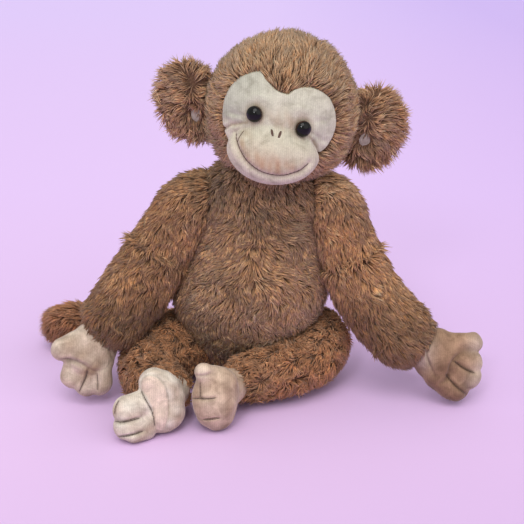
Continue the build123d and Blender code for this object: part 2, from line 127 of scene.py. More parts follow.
# ---------------------------------------------------------------- base shapes
class Tube:
    """A round limb on a smooth centre line."""

    def __init__(self, points, radii, steps=14):
        P = np.asarray(points, float)
        R = np.asarray(radii, float)
        Q = np.vstack([2 * P[0] - P[1], P, 2 * P[-1] - P[-2]])
        S = np.concatenate([[2 * R[0] - R[1]], R, [2 * R[-1] - R[-2]]])
        pts, rad = [], []
        for i in range(1, len(Q) - 2):
            for t in np.arange(steps) / steps:
                c = [-0.5 * t + t * t - 0.5 * t ** 3, 1 - 2.5 * t * t + 1.5 * t ** 3,
                     0.5 * t + 2 * t * t - 1.5 * t ** 3, -0.5 * t * t + 0.5 * t ** 3]
                pts.append(sum(c[j] * Q[i - 1 + j] for j in range(4)))
                rad.append((1 - t) * S[i] + t * S[i + 1])
        pts.append(P[-1]); rad.append(R[-1])
        self.P = np.array(pts); self.R = np.array(rad)
        k = np.array([1, 4, 6, 4, 1]) / 16.0
        pad = np.pad(self.R, 2, mode="edge")
        self.R = np.convolve(pad, k, "valid")
        self.T = unit(np.gradient(self.P, axis=0))
        u = unit(np.cross(self.T[0], A(0.3, 0.2, 1)))
        us = []
        for t in self.T:
            u = unit(u - t * (u @ t)); us.append(u)
        self.U = np.array(us); self.W = np.cross(self.T, self.U)

    def near(self, p):
        return int(np.argmin(np.linalg.norm(self.P - np.asarray(p, float), axis=1)))

    def mesh(self, a=0, b=None, around=28, swell=0.0, cap=True):
        """Points and triangles of the stretch from station a to b, with round ends."""
        b = len(self.P) - 1 if b is None else b
        th = np.arange(around) * 2 * math.pi / around
        rings, tang = [], []
        idx = range(a, b + 1)
        st = [(self.P[i], self.R[i] + swell, self.T[i], self.U[i], self.W[i]) for i in idx]
        if cap:
            for end, sign in ((0, -1), (-1, 1)):
                p, r, t, u, w = st[end]
                extra = [(p + sign * t * r * 0.55 * math.sin(x), r * math.cos(x), t, u, w) for x in (0.45, 0.9, 1.3)]
                st = (extra[::-1] + st) if sign < 0 else (st + extra)
        for p, r, t, u, w in st:
            rings.append(p + r * (np.cos(th)[:, None] * u + np.sin(th)[:, None] * w))
            tang.append(np.repeat(t[None], around, 0))
        V = np.vstack(rings); T = np.vstack(tang)
        F = []
        m = len(rings)
        for i in range(m - 1):
            for j in range(around):
                p, q = i * around + j, i * around + (j + 1) % around
                F += [(p, q, q + around), (p, q + around, p + around)]
        V = np.vstack([V, st[0][0] - st[0][2] * 0.5, st[-1][0] + st[-1][2] * 0.5]); T = np.vstack([T, st[0][2], st[-1][2]])
        c0, c1 = len(V) - 2, len(V) - 1
        for j in range(around):
            F.append((c0, (j + 1) % around, j))
            F.append((c1, (m - 1) * around + j, (m - 1) * around + (j + 1) % around))
        return V, np.array(F), T

    def inside(self, X, shrink=0.0):
        out = np.zeros(len(X), bool)
        for i in range(0, len(self.P), 3):
            out |= ((X - self.P[i]) ** 2).sum(axis=1) < max(self.R[i] - shrink, 0.1) ** 2
        return out


class Stack:
    """A body of stacked ellipses: rows are z, cx, cy, rx, ry."""

    def __init__(self, rows, steps=7):
        r = np.asarray(rows, float)
        z = r[:, 0]
        t = np.linspace(0, len(r) - 1, (len(r) - 1) * steps + 1)
        self.rows = np.column_stack([np.interp(t, np.arange(len(r)), r[:, k]) for k in range(5)])
        k = np.array([1, 3, 5, 7, 5, 3, 1]) / 25.0
        for c in range(1, 5):
            pad = np.pad(self.rows[:, c], 3, mode="edge")
            self.rows[:, c] = np.convolve(pad, k, "valid")

    def mesh(self, around=64):
        th = np.arange(around) * 2 * math.pi / around
        V = []
        for z, cx, cy, rx, ry in self.rows:
            V.append(np.column_stack([cx + rx * np.cos(th), cy + ry * np.sin(th), np.full(around, z)]))
        m = len(V); V = np.vstack(V); F = []
        for i in range(m - 1):
            for j in range(around):
                p, q = i * around + j, i * around + (j + 1) % around
                F += [(p, q, q + around), (p, q + around, p + around)]
        b, t = self.rows[0], self.rows[-1]
        V = np.vstack([V, A(b[1], b[2], b[0]), A(t[1], t[2], t[0] + 0.5)])
        c0, c1 = len(V) - 2, len(V) - 1
        for j in range(around):
            F.append((c0, (j + 1) % around, j))
            F.append((c1, (m - 1) * around + j, (m - 1) * around + (j + 1) % around))
        return V, np.array(F)

    def inside(self, X, shrink=0.0):
        r = self.rows
        cx, cy, rx, ry = (np.interp(X[:, 2], r[:, 0], r[:, k]) for k in range(1, 5))
        q = ((X[:, 0] - cx) / np.maximum(rx - shrink, 1)) ** 2 + ((X[:, 1] - cy) / np.maximum(ry - shrink, 1)) ** 2
        return (q < 1) & (X[:, 2] > r[0, 0]) & (X[:, 2] < r[-1, 0])


class Ball:
    """An ellipsoid with its own axes."""

    def __init__(self, centre, radii, axes=None):
        self.c = A(*centre); self.r = A(*radii)
        self.M = np.eye(3) if axes is None else np.array(axes, float)

    def mesh(self, n=56, m=36):
        V, F = [], []
        for i in range(1, m):
            f = math.pi * i / m
            for j in range(n):
                g = 2 * math.pi * j / n
                V.append((math.sin(f) * math.cos(g), math.sin(f) * math.sin(g), math.cos(f)))
        V.append((0, 0, 1)); V.append((0, 0, -1))
        for i in range(m - 2):
            for j in range(n):
                p, q = i * n + j, i * n + (j + 1) % n
                F += [(p, p + n, q + n), (p, q + n, q)]
        top, bot = len(V) - 2, len(V) - 1
        for j in range(n):
            F.append((top, j, (j + 1) % n))
            F.append((bot, (m - 2) * n + (j + 1) % n, (m - 2) * n + j))
        V = np.array(V)
        return (V * self.r) @ self.M + self.c, np.array(F)

    def inside(self, X, shrink=0.0):
        q = ((X - self.c) @ self.M.T) / (self.r - shrink)
        return (q ** 2).sum(axis=1) < 1


# ---------------------------------------------------------------- fur
LOCK_W = np.array([1.0, 0.88])
_tris = [(0, 2, 1)]
_uv = [(0.5, 0.0), (0.9, 0.0), (0.1, 0.0)]
for _k in range(3):
    a, b, c, d = _k, (_k + 1) % 3, 3 + (_k + 1) % 3, 3 + _k
    x0, x1 = _k / 3, (_k + 1) / 3
    _tris += [(a, b, c), (a, c, d), (d, c, 6)]
    _uv += [(x0, 0.0), (x1, 0.0), (x1, 0.55), (x0, 0.0), (x1, 0.55), (x0, 0.55), (x0, 0.55), (x1, 0.55), ((x0 + x1) / 2, 1.0)]
LOCK_TRIS = np.array(_tris); LOCK_UV = np.array(_uv)


def roots_on(V, F, spacing, seed, T=None):
    """Even random points on a mesh, with their normals and the interpolated direction T."""
    rs = np.random.RandomState(seed)
    N = normals_of(V, F)
    a, b, c = V[F[:, 0]], V[F[:, 1]], V[F[:, 2]]
    area = np.linalg.norm(np.cross(b - a, c - a), axis=1) / 2
    n = int(area.sum() / spacing ** 2 * 1.9)
    pick = np.searchsorted(np.cumsum(area) / area.sum(), rs.rand(n)).clip(0, len(F) - 1)
    u, v = rs.rand(n), rs.rand(n)
    f = u + v > 1
    u[f], v[f] = 1 - u[f], 1 - v[f]
    w = np.column_stack([1 - u - v, u, v])[:, :, None]
    P = (V[F[pick]] * w).sum(axis=1)
    cell = np.floor(P / (spacing * 0.92)).astype(np.int64)
    key = (cell[:, 0] * 73856093) ^ (cell[:, 1] * 19349663) ^ (cell[:, 2] * 83492791)
    _, keep = np.unique(key, return_index=True)
    keep.sort()
    P = P[keep]; pick = pick[keep]; w = w[keep]
    Nn = unit((N[F[pick]] * w).sum(axis=1))
    if T is None:
        return P, Nn
    return P, Nn, unit((T[F[pick]] * w).sum(axis=1))


def locks(name, P, N, C, length, width, tone, seed, lift=0.45, clump=0.52, curl=0.34, mess=0.34, clump_size=4.3, droop=0.10, root=1.0):
    """Fur: each root P grows one tapered lock that leaves along its normal N and is combed along C."""
    rs = np.random.RandomState(seed)
    n = len(P)
    length = np.broadcast_to(np.asarray(length, float), (n,)) * rs.uniform(0.78, 1.16, n)
    width = np.broadcast_to(np.asarray(width, float), (n,)) * rs.uniform(0.75, 1.25, n)
    C = unit(C - N * (C * N).sum(axis=1, keepdims=True))
    side = np.cross(N, C)
    # clumps: neighbours in one cell lean together and share their colour and comb error
    jig = waves(P, 19.0, seed + 5) * 1.6
    cell = np.floor((P + jig) / clump_size).astype(np.int64)
    key = (cell[:, 0] * 73856093) ^ (cell[:, 1] * 19349663) ^ (cell[:, 2] * 83492791)
    _, inv = np.unique(key, return_inverse=True)
    cnt = np.bincount(inv).astype(float)
    mid = np.column_stack([np.bincount(inv, P[:, k]) / cnt for k in range(3)])
    cr = rs.normal(size=(len(cnt), 4))
    cl = cr[inv]
    d0 = unit(N * lift + C * (1 - lift * 0.35) + side * (mess * (0.8 * cl[:, :1] + 0.5 * rs.normal(size=(n, 1)))) + N * (0.13 * cl[:, 1:2] + 0.10 * rs.normal(size=(n, 1))))
    d1 = unit(C * (1.0 + 0.2 * cl[:, 3:4]) + side * (mess * 1.5 * cl[:, 2:3]) + A(0, 0, -droop) + N * 0.05)
    gather = (mid[inv] - P)
    gather -= N * (gather * N).sum(axis=1, keepdims=True)
    pts = []
    for t in (0.0, 0.5, 1.0):
        p = P + length[:, None] * (d0 * (t - curl * t * t) + d1 * (curl * t * t)) + gather * (clump * t ** 1.3)
        pts.append(p)
    pts[0] = pts[0] - N * 0.8
    V = np.zeros((n, 7, 3))
    rot = rs.uniform(0, 2 * math.pi, n)
    for r in range(2):
        t = unit(pts[r + 1] - pts[max(r - 1, 0)])
        s = unit(np.cross(t, N + 0.001)); q = np.cross(t, s)
        for k in range(3):
            ang = rot + k * 2 * math.pi / 3
            V[:, r * 3 + k] = pts[r] + (width * LOCK_W[r])[:, None] * (np.cos(ang)[:, None] * s + np.sin(ang)[:, None] * q)
    V[:, 6] = pts[2]
    V[:, :, 2] = np.maximum(V[:, :, 2], FLOOR)
    # colour: dark root to light tip, varied by clump and by lock; the dark roots are partly painted shade deep in the
    # pile, and the pale cool tip is partly a painted highlight
    f = np.array([[0.36 * root, 0.31 * root, 0.28 * root]] * 3 + [[0.84, 0.82, 0.79]] * 3 + [[1.30, 1.42, 1.56]])
    v = np.exp(0.17 * cl[:, 2] + 0.17 * rs.normal(size=n))
    col = tone[:, None, :] * (f[None] * v[:, None, None])
    warm = (0.035 * cl[:, 3] + 0.03 * rs.normal(size=n))[:, None]
    col[:, :, 0] *= 1 + warm; col[:, :, 2] *= 1 - 1.3 * warm
    col = np.clip(col, 0.004, 0.9)
    tris = (LOCK_TRIS[None] + (np.arange(n) * 7)[:, None, None]).reshape(-1, 3)
    ob = new_mesh(name, V.reshape(-1, 3), tris, col.reshape(-1, 3))
    g = int(math.ceil(math.sqrt(n)))
    i = np.arange(n)
    corner = np.column_stack([i % g, i // g]).astype(float)
    uv = (corner[:, None, :] + 0.12 + 0.76 * LOCK_UV[None]) / g
    layer = ob.data.uv_layers.new(name="OFBake")
    layer.data.foreach_set("uv", uv.reshape(-1).astype(np.float32))
    return ob


# ---------------------------------------------------------------- materials
def material(name):
    m = bpy.data.materials.new(name)
    m.use_nodes = True
    nt = m.node_tree
    return m, nt, nt.nodes["Principled BSDF"]


def node(nt, kind, **inputs):
    n = nt.nodes.new(kind)
    for k, v in inputs.items():
        n.inputs[k].default_value = v
    return n


def mixrgb(nt, kind, fac, a, b):
    n = nt.nodes.new("ShaderNodeMix"); n.data_type = "RGBA"; n.blend_type = kind
    for sock, v in ((n.inputs[0], fac), (n.inputs[6], a), (n.inputs[7], b)):
        if isinstance(v, bpy.types.NodeSocket):
            nt.links.new(v, sock)
        else:
            sock.default_value = v if not isinstance(v, tuple) or len(v) == 4 else (*v, 1.0)
    return n.outputs[2]


def ramp(nt, fac, stops):
    n = nt.nodes.new("ShaderNodeValToRGB")
    nt.links.new(fac, n.inputs[0])
    e = n.color_ramp.elements
    while len(e) < len(stops):
        e.new(0.5)
    for el, (pos, c) in zip(e, stops):
        el.position = pos; el.color = (*c, 1.0) if len(c) == 3 else c
    return n.outputs[0]


def fur_material():
    m, nt, p = material("plush_fur")
    tint = nt.nodes.new("ShaderNodeAttribute"); tint.attribute_name = "tint"
    tc = nt.nodes.new("ShaderNodeTexCoord")
    big = node(nt, "ShaderNodeTexNoise", Scale=26.0, Detail=3.0, Roughness=0.55)
    nt.links.new(tc.outputs["Object"], big.inputs["Vector"])
    fine = node(nt, "ShaderNodeTexNoise", Scale=900.0, Detail=2.0, Roughness=0.6)
    nt.links.new(tc.outputs["Object"], fine.inputs["Vector"])
    patch = ramp(nt, big.outputs["Fac"], [(0.30, (0.80, 0.78, 0.77)), (0.70, (1.12, 1.11, 1.10))])
    strand = ramp(nt, fine.outputs["Fac"], [(0.30, (0.72, 0.71, 0.70)), (0.70, (1.20, 1.19, 1.18))])
    c = mixrgb(nt, "MULTIPLY", 1.0, tint.outputs["Color"], patch)
    c = mixrgb(nt, "MULTIPLY", 0.8, c, strand)
    nt.links.new(c, p.inputs["Base Color"])
    r = ramp(nt, fine.outputs["Fac"], [(0.2, (0.60, 0.60, 0.60)), (0.8, (0.82, 0.82, 0.82))])
    nt.links.new(r, p.inputs["Roughness"])
    b = node(nt, "ShaderNodeBump", Strength=0.35, Distance=0.0004)
    nt.links.new(fine.outputs["Fac"], b.inputs["Height"]); nt.links.new(b.outputs["Normal"], p.inputs["Normal"])
    p.inputs["Sheen Weight"].default_value = 0.22
    p.inputs["Sheen Roughness"].default_value = 0.45
    p.inputs["Sheen Tint"].default_value = (1.0, 0.86, 0.74, 1.0)
    p.inputs["Specular IOR Level"].default_value = 0.25
    return m


def backing_material():
    m, nt, p = material("plush_backing_knit")
    tc = nt.nodes.new("ShaderNodeTexCoord")
    v = node(nt, "ShaderNodeTexVoronoi", Scale=620.0)
    nt.links.new(tc.outputs["Object"], v.inputs["Vector"])
    n = node(nt, "ShaderNodeTexNoise", Scale=60.0, Detail=3.0)
    nt.links.new(tc.outputs["Object"], n.inputs["Vector"])
    knit = ramp(nt, v.outputs["Distance"], [(0.0, (0.17, 0.098, 0.060)), (0.6, (0.095, 0.050, 0.030))])
    patch = ramp(nt, n.outputs["Fac"], [(0.3, (0.8, 0.8, 0.8)), (0.7, (1.15, 1.12, 1.1))])
    nt.links.new(mixrgb(nt, "MULTIPLY", 1.0, knit, patch), p.inputs["Base Color"])
    b = node(nt, "ShaderNodeBump", Strength=0.5, Distance=0.0005)
    nt.links.new(v.outputs["Distance"], b.inputs["Height"]); nt.links.new(b.outputs["Normal"], p.inputs["Normal"])
    p.inputs["Roughness"].default_value = 0.9
    p.inputs["Specular IOR Level"].default_value = 0.15
    return m


def velour_material(name, nap=1.0, low=0.80, high=1.12, size=75.0):
    """Short-pile velour: its colour is painted on the mesh, with brushed patches, nap grain and knit rows under it."""
    m, nt, p = material(name)
    tint = nt.nodes.new("ShaderNodeAttribute"); tint.attribute_name = "tint"
    tc = nt.nodes.new("ShaderNodeTexCoord")
    brush = node(nt, "ShaderNodeTexNoise", Scale=size, Detail=4.0, Roughness=0.6, Distortion=0.6)
    nt.links.new(tc.outputs["Object"], brush.inputs["Vector"])
    grain = node(nt, "ShaderNodeTexNoise", Scale=1500.0, Detail=2.0, Roughness=0.7)
    nt.links.new(tc.outputs["Object"], grain.inputs["Vector"])
    rows = node(nt, "ShaderNodeTexWave", Scale=190.0, Distortion=1.6, Detail=2.0)
    rows.bands_direction = "X"
    nt.links.new(tc.outputs["Object"], rows.inputs["Vector"])
    a = ramp(nt, brush.outputs["Fac"], [(0.32, (low, low * 0.98, low * 0.955)), (0.50, (0.97, 0.965, 0.96)), (0.68, (high, high, high))])
    g = ramp(nt, grain.outputs["Fac"], [(0.30, (0.82, 0.815, 0.81)), (0.70, (1.12, 1.12, 1.12))])
    w = ramp(nt, rows.outputs["Fac"], [(0.0, (0.925, 0.92, 0.91)), (1.0, (1.035, 1.035, 1.035))])
    c = mixrgb(nt, "MULTIPLY", 1.0, tint.outputs["Color"], a)
    c = mixrgb(nt, "MULTIPLY", 0.9, c, g)
    c = mixrgb(nt, "MULTIPLY", 1.0, c, w)
    nt.links.new(c, p.inputs["Base Color"])
    r = ramp(nt, brush.outputs["Fac"], [(0.3, (0.92, 0.92, 0.92)), (0.7, (0.74, 0.74, 0.74))])
    nt.links.new(r, p.inputs["Roughness"])
    h = nt.nodes.new("ShaderNodeMath"); h.operation = "ADD"
    nt.links.new(grain.outputs["Fac"], h.inputs[0])
    h2 = nt.nodes.new("ShaderNodeMath"); h2.operation = "MULTIPLY"; h2.inputs[1].default_value = 0.6
    nt.links.new(rows.outputs["Fac"], h2.inputs[0]); nt.links.new(h2.outputs[0], h.inputs[1])
    b = node(nt, "ShaderNodeBump", Strength=0.30 * nap, Distance=0.0003)
    nt.links.new(h.outputs[0], b.inputs["Height"])
    b2 = node(nt, "ShaderNodeBump", Strength=0.30, Distance=0.0012)
    nt.links.new(brush.outputs["Fac"], b2.inputs["Height"]); nt.links.new(b.outputs["Normal"], b2.inputs["Normal"])
    nt.links.new(b2.outputs["Normal"], p.inputs["Normal"])
    p.inputs["Sheen Weight"].default_value = 0.35
    p.inputs["Sheen Roughness"].default_value = 0.35
    p.inputs["Sheen Tint"].default_value = (1.0, 0.95, 0.90, 1.0)
    p.inputs["Specular IOR Level"].default_value = 0.2
    return m


def thread_material(name, dark, light):
    m, nt, p = material(name)
    tc = nt.nodes.new("ShaderNodeTexCoord")
    w = node(nt, "ShaderNodeTexWave", Scale=900.0, Distortion=3.0, Detail=2.0)
    nt.links.new(tc.outputs["Object"], w.inputs["Vector"])
    nt.links.new(ramp(nt, w.outputs["Fac"], [(0.0, dark), (1.0, light)]), p.inputs["Base Color"])
    b = node(nt, "ShaderNodeBump", Strength=0.6, Distance=0.0003)
    nt.links.new(w.outputs["Fac"], b.inputs["Height"]); nt.links.new(b.outputs["Normal"], p.inputs["Normal"])
    p.inputs["Roughness"].default_value = 0.55
    p.inputs["Sheen Weight"].default_value = 0.2
    return m


def eye_material(name, centre, axis):
    """A moulded eye: black pupil, thin brown rim, clear gloss."""
    m, nt, p = material(name)
    tc = nt.nodes.new("ShaderNodeTexCoord")
    d = nt.nodes.new("ShaderNodeVectorMath"); d.operation = "SUBTRACT"
    d.inputs[1].default_value = centre
    nt.links.new(tc.outputs["Object"], d.inputs[0])
    x = nt.nodes.new("ShaderNodeVectorMath"); x.operation = "CROSS_PRODUCT"
    x.inputs[1].default_value = axis
    nt.links.new(d.outputs["Vector"], x.inputs[0])
    ln = nt.nodes.new("ShaderNodeVectorMath"); ln.operation = "LENGTH"
    nt.links.new(x.outputs["Vector"], ln.inputs[0])
    s = nt.nodes.new("ShaderNodeMath"); s.operation = "MULTIPLY"; s.inputs[1].default_value = 100.0
    nt.links.new(ln.outputs["Value"], s.inputs[0])
    n = node(nt, "ShaderNodeTexNoise", Scale=700.0, Detail=2.0)
    nt.links.new(tc.outputs["Object"], n.inputs["Vector"])
    rim = ramp(nt, s.outputs[0], [(0.0, (0.0006, 0.0006, 0.0009)), (0.66, (0.0006, 0.0006, 0.0009)), (0.70, (0.045, 0.018, 0.009)), (1.0, (0.030, 0.012, 0.006))])
    g = ramp(nt, n.outputs["Fac"], [(0.3, (0.8, 0.8, 0.8)), (0.7, (1.1, 1.1, 1.1))])
    nt.links.new(mixrgb(nt, "MULTIPLY", 0.6, rim, g), p.inputs["Base Color"])
    rr = ramp(nt, n.outputs["Fac"], [(0.2, (0.05, 0.05, 0.05)), (0.8, (0.09, 0.09, 0.09))])
    nt.links.new(rr, p.inputs["Roughness"])
    p.inputs["Specular IOR Level"].default_value = 0.30
    p.inputs["Coat Weight"].default_value = 0.0
    return m


def plastic_material(name, dark, light):
    m, nt, p = material(name)
    tc = nt.nodes.new("ShaderNodeTexCoord")
    n = node(nt, "ShaderNodeTexNoise", Scale=300.0, Detail=3.0)
    nt.links.new(tc.outputs["Object"], n.inputs["Vector"])
    nt.links.new(ramp(nt, n.outputs["Fac"], [(0.3, dark), (0.7, light)]), p.inputs["Base Color"])
    b = node(nt, "ShaderNodeBump", Strength=0.15, Distance=0.0002)
    nt.links.new(n.outputs["Fac"], b.inputs["Height"]); nt.links.new(b.outputs["Normal"], p.inputs["Normal"])
    p.inputs["Roughness"].default_value = 0.4
    return m


FUR = fur_material()
BACK = backing_material()
FACE = velour_material("face_velour", nap=1.7, low=0.77, high=1.05, size=95.0)
HANDS = velour_material("hand_velour", nap=1.5, low=0.72, high=1.22, size=110.0)

# ---------------------------------------------------------------- the toy's base shapes
torso = Stack([
    (2.5, -5, 30, 36, 23), (5, -5, 29, 43, 29), (12, -5, 27, 50, 34), (30, -5, 20, 54, 41), (50, -6, 11, 58, 47), (66, -6, 6, 62, 52),
    (78, -5, 4, 68, 56), (95, -4, 2.5, 70.5, 60), (118, 0, 2, 64.5, 59), (142, 3, 2, 57, 52), (166, 6, 2, 53, 45),
    (184, 7, 2, 55, 39), (196, 7, 2, 54, 34), (206, 7, 2, 49, 29), (213, 5, 2, 44, 24), (220, 4, 2, 35, 17), (225, 5, 2, 18, 9)])
lean = math.radians(15.0)
hx, hz = A(math.cos(lean), 0, -math.sin(lean)), A(math.sin(lean), 0, math.cos(lean))
head = Ball((26.5, 0, 271.5), (65.0, 62, 63.0), (hx, A(0, 1, 0), hz))
arm_r = Tube([(-36, 3, 190), (-48, 1, 189), (-62, -2, 178), (-83, -9, 147), (-110, -20, 106), (-132, -30, 78), (-139, -33, 69)],
             [18, 22, 26, 27, 29.5, 27, 22])
arm_l = Tube([(52, 3, 190), (63, 1, 188), (74, -2, 177), (87, -7, 142), (109, -15, 97), (137, -26, 66), (150, -30, 55)],
             [18, 22, 26, 26.5, 29, 29.5, 26])
leg_r = Tube([(-34, 20, 42), (-56, 14, 40), (-80, -4, 38), (-97, -29, 34), (-95, -56, 31), (-82, -76, 29), (-76, -83, 28)],
             [24, 29, 30, 27.5, 23.5, 21.5, 19.5])
leg_l = Tube([(26, 26, 42), (46, 23, 41), (61, 12, 40), (63, -6, 38), (51, -27, 35), (24, -43, 32.5), (-4, -54, 30), (-13, -60, 29)],
             [24, 29, 28, 25.5, 24, 23, 20.5, 17.5])
tail = Tube([(-4, 62, 22), (-10, 80, 21), (-50, 88, 20), (-105, 91, 20), (-160, 93, 22), (-188, 88, 26), (-203, 79, 26), (-208, 74, 24)],
            [13, 14, 14, 13.5, 14, 15.5, 14.5, 10])
ear_r_axes = (unit(A(1, -0.12, 0.26)), unit(A(0.18, 1, 0)), unit(A(-0.26, 0, 1)))
ear_l_axes = (unit(A(1, 0.12, -0.26)), unit(A(-0.18, 1, 0)), unit(A(0.26, 0, 1)))


def square(axes):
    x = unit(axes[0]); y = unit(axes[1] - x * (axes[1] @ x)); z = np.cross(x, y)
    return (x, y, z)


ear_r = Ball((-58.5, 13, 276.5), (25.5, 9.5, 33), square(ear_r_axes))
ear_l = Ball((107.5, 10, 252.5), (28, 9.5, 34), square(ear_l_axes))

# ---------------------------------------------------------------- the face outline, seen from a point inside the head
EYE_O = A(21, -8, 262)
face_ball = Ball((22, 0, 272.5), (66.5, 64.6, 65.2), (hx, A(0, 1, 0), hz))
ml = math.radians(11.0)
mx, mz = A(math.cos(ml), 0, -math.sin(ml)), A(math.sin(ml), 0, math.cos(ml))
muzzle_ball = Ball((17.5, -50, 242.7), (40.5, 29, 27.5), (mx, A(0, 1, 0), mz))
MASK = np.array([(-1.297, -0.017), (-1.389, 0.358), (-1.309, 0.694), (-1.117, 0.964), (-0.839, 1.096), (-0.64, 1.092), (-0.459, 0.899), (-0.224, 0.709),
                 (-0.023, 0.670), (0.033, 0.715), (0.125, 0.847), (0.334, 0.97), (0.636, 1.057), (0.987, 1.031), (1.245, 0.823), (1.422, 0.508),
                 (1.399, 0.157), (1.24, -0.15), (1.02, -0.26), (0.86, -0.33),
                 (0.744, -0.39), (0.583, -0.50), (0.386, -0.63), (0.2, -0.72), (-0.046, -0.815), (-0.316, -0.82), (-0.554, -0.72), (-0.80, -0.62), (-1.05, -0.47), (-1.22, -0.26)])
SMILE = np.array([(-0.717, -0.200), (-0.60, -0.262), (-0.512, -0.300), (-0.412, -0.355), (-0.293, -0.418), (-0.14, -0.472), (-0.017, -0.49), (0.162, -0.473), (0.308, -0.418),
                  (0.437, -0.355), (0.53, -0.261)])
TICK = np.array([(-0.548, -0.095), (-0.553, -0.17), (-0.560, -0.255)])
SEAM_L = np.array([(-1.25, -0.30), (-1.163, -0.247), (-0.95, -0.10), (-0.782, -0.037), (-0.543, 0.06)])
SEAM_R = np.array([(0.561, 0.091), (0.70, 0.02), (0.845, -0.085), (1.02, -0.24), (1.10, -0.33)])
NOSTRILS = [((-0.106, 0.073), (-0.066, 0.0)), ((0.030, 0.084), (0.016, 0.0))]
EYES2 = np.array([(-0.442, 0.23), (0.362, 0.222)])


def seg_dist(Q, line):
    """Distance of each 2-D point from a polyline, and how far along it (0 to 1)."""
    best = np.full(len(Q), 1e9); along = np.zeros(len(Q))
    L = np.linalg.norm(np.diff(line, axis=0), axis=1); cum = np.concatenate([[0], np.cumsum(L)])
    for i in range(len(line) - 1):
        a, b = line[i], line[i + 1]
        t = np.clip(((Q - a) @ (b - a)) / ((b - a) @ (b - a)), 0, 1)
        d = np.linalg.norm(Q - (a + t[:, None] * (b - a)), axis=1)
        s = (cum[i] + t * L[i]) / cum[-1]
        m = d < best
        best[m] = d[m]; along[m] = s[m]
    return best, along


def in_poly(Q, poly):
    x, y = Q[:, 0], Q[:, 1]
    out = np.zeros(len(Q), bool)
    n = len(poly)
    for i in range(n):
        (x1, y1), (x2, y2) = poly[i], poly[(i + 1) % n]
        c = ((y1 > y) != (y2 > y)) & (x < (x2 - x1) * (y - y1) / (y2 - y1 + 1e-12) + x1)
        out ^= c
    return out


def curve2(points, n, closed=False):
    P = np.asarray(points, float)
    m = len(P)
    t = np.linspace(0, m if closed else m - 1, n, endpoint=not closed)
    out = []
    for s in t:
        i = min(int(s), m - 1 if closed else m - 2); f = s - i
        g = [P[(i + k) % m] if closed else P[min(max(i + k, 0), m - 1)] for k in (-1, 0, 1, 2)]
        out.append(0.5 * ((2 * g[1]) + (g[2] - g[0]) * f + (2 * g[0] - 5 * g[1] + 4 * g[2] - g[3]) * f * f + (3 * g[1] - g[0] - 3 * g[2] + g[3]) * f ** 3))
    return np.array(out)


MASK_S = curve2(MASK, 220, closed=True)


def look(P):
    """2-D place of a point as seen from inside the head; None-like large values behind."""
    r = P - EYE_O
    y = np.where(-r[:, 1] < 1.0, 1.0, -r[:, 1])
    q = np.column_stack([r @ hx, r @ hz]) / y[:, None]
    q[-r[:, 1] < 1.0] = 50.0
    return q


def hit(ball, D):
    o = (ball.M @ (EYE_O - ball.c)) / ball.r
    d = (D @ ball.M.T) / ball.r
    a = (d * d).sum(axis=1); b = d @ o; c = o @ o - 1
    disc = b * b - a * c
    return np.where(disc > 0, (-b + np.sqrt(np.maximum(disc, 0))) / a, -50.0)


def face_surface(Q, lift=0.0):
    """Points of the velour face at the 2-D places Q: brow and cheeks on the head, the muzzle bulging out of them."""
    D = unit(np.column_stack([Q[:, :1] * hx + Q[:, 1:] * hz]) - A(0, 1, 0))
    rh, rm = hit(face_ball, D), hit(muzzle_ball, D)
    # the joining fillet is soft over the nose bridge and tight at the two seams beside it
    k = 2.0 + 9.0 * np.exp(-((Q[:, 0] - 0.02) / 0.42) ** 2) * smooth(-0.35, 0.1, Q[:, 1])
    h = np.clip(0.5 + 0.5 * (rm - rh) / k, 0, 1)
    r = rh * (1 - h) + rm * h + k * h * (1 - h)
    # lower lip band and upper muzzle: two rolls that meet in the smile
    d, s = seg_dist(Q, SMILE_S)
    on = smooth(-0.02, 0.05, s) * smooth(1.03, 0.93, s)
    r -= 2.6 * np.exp(-(d / 0.035) ** 2) * (0.35 + 0.65 * on)
    r += 1.0 * np.exp(-((d - 0.12) / 0.075) ** 2)
    d, s = seg_dist(Q, TICK)
    r -= 1.3 * np.exp(-(d / 0.022) ** 2)
    for seam in (SEAM_L, SEAM_R):
        d, s = seg_dist(Q, seam)
        fade = smooth(0.0, 0.25, 1 - s) if seam is SEAM_L else smooth(0.0, 0.25, s)
        r -= 2.2 * np.exp(-(d / 0.045) ** 2) * fade
    # the seam gathers the cloth into small pleats, and the loose cheeks crinkle
    d, s = seg_dist(Q, SMILE_S)
    r += 0.28 * np.sin(s * 150.0) * np.exp(-((d - 0.045) / 0.04) ** 2)
    for k, (cx, cy, amp) in enumerate(((0.95, -0.02, 0.55), (-0.98, 0.02, 0.50), (0.62, 0.42, 0.25), (0.10, -0.30, 0.22), (-0.50, -0.15, 0.22))):
        w = np.exp(-((Q[:, 0] - cx) / 0.30) ** 2 - ((Q[:, 1] - cy) / 0.26) ** 2)
        r += amp * w * np.sin(26.0 * (Q[:, 1] + 0.45 * Q[:, 0] * (1 if cx > 0 else -1)) + 2.2 * np.sin(7.0 * Q[:, 0] + k))
    # sockets: the eyes are pulled in by their washers
    for e, w in zip(EYES2, (1.0, 1.0)):
        d = np.linalg.norm(Q - e, axis=1)
        r -= 2.6 * np.exp(-(d / 0.17) ** 2) * smooth(0.02, 0.10, d) ** 0.5 + 1.6 * np.exp(-(d / 0.10) ** 2)
        r += 0.7 * np.exp(-((d - 0.30) / 0.10) ** 2)
    # creases that run out from the eyes
    for a, b, dep, w in (((0.52, 0.17), (1.18, 0.02), 1.5, 0.055), ((-0.60, 0.16), (-1.15, 0.10), 1.2, 0.05), ((0.50, 0.34), (0.95, 0.52), 0.7, 0.06),
                         ((-0.02, 0.62), (-0.04, 0.25), 0.8, 0.09)):
        d, s = seg_dist(Q, np.array([a, b]))
        r -= dep * np.exp(-(d / w) ** 2) * np.sin(np.clip(s, 0.02, 0.98) * math.pi) ** 0.5
    return EYE_O + D * (r + lift)[:, None]


SMILE_S = curve2(SMILE, 60)

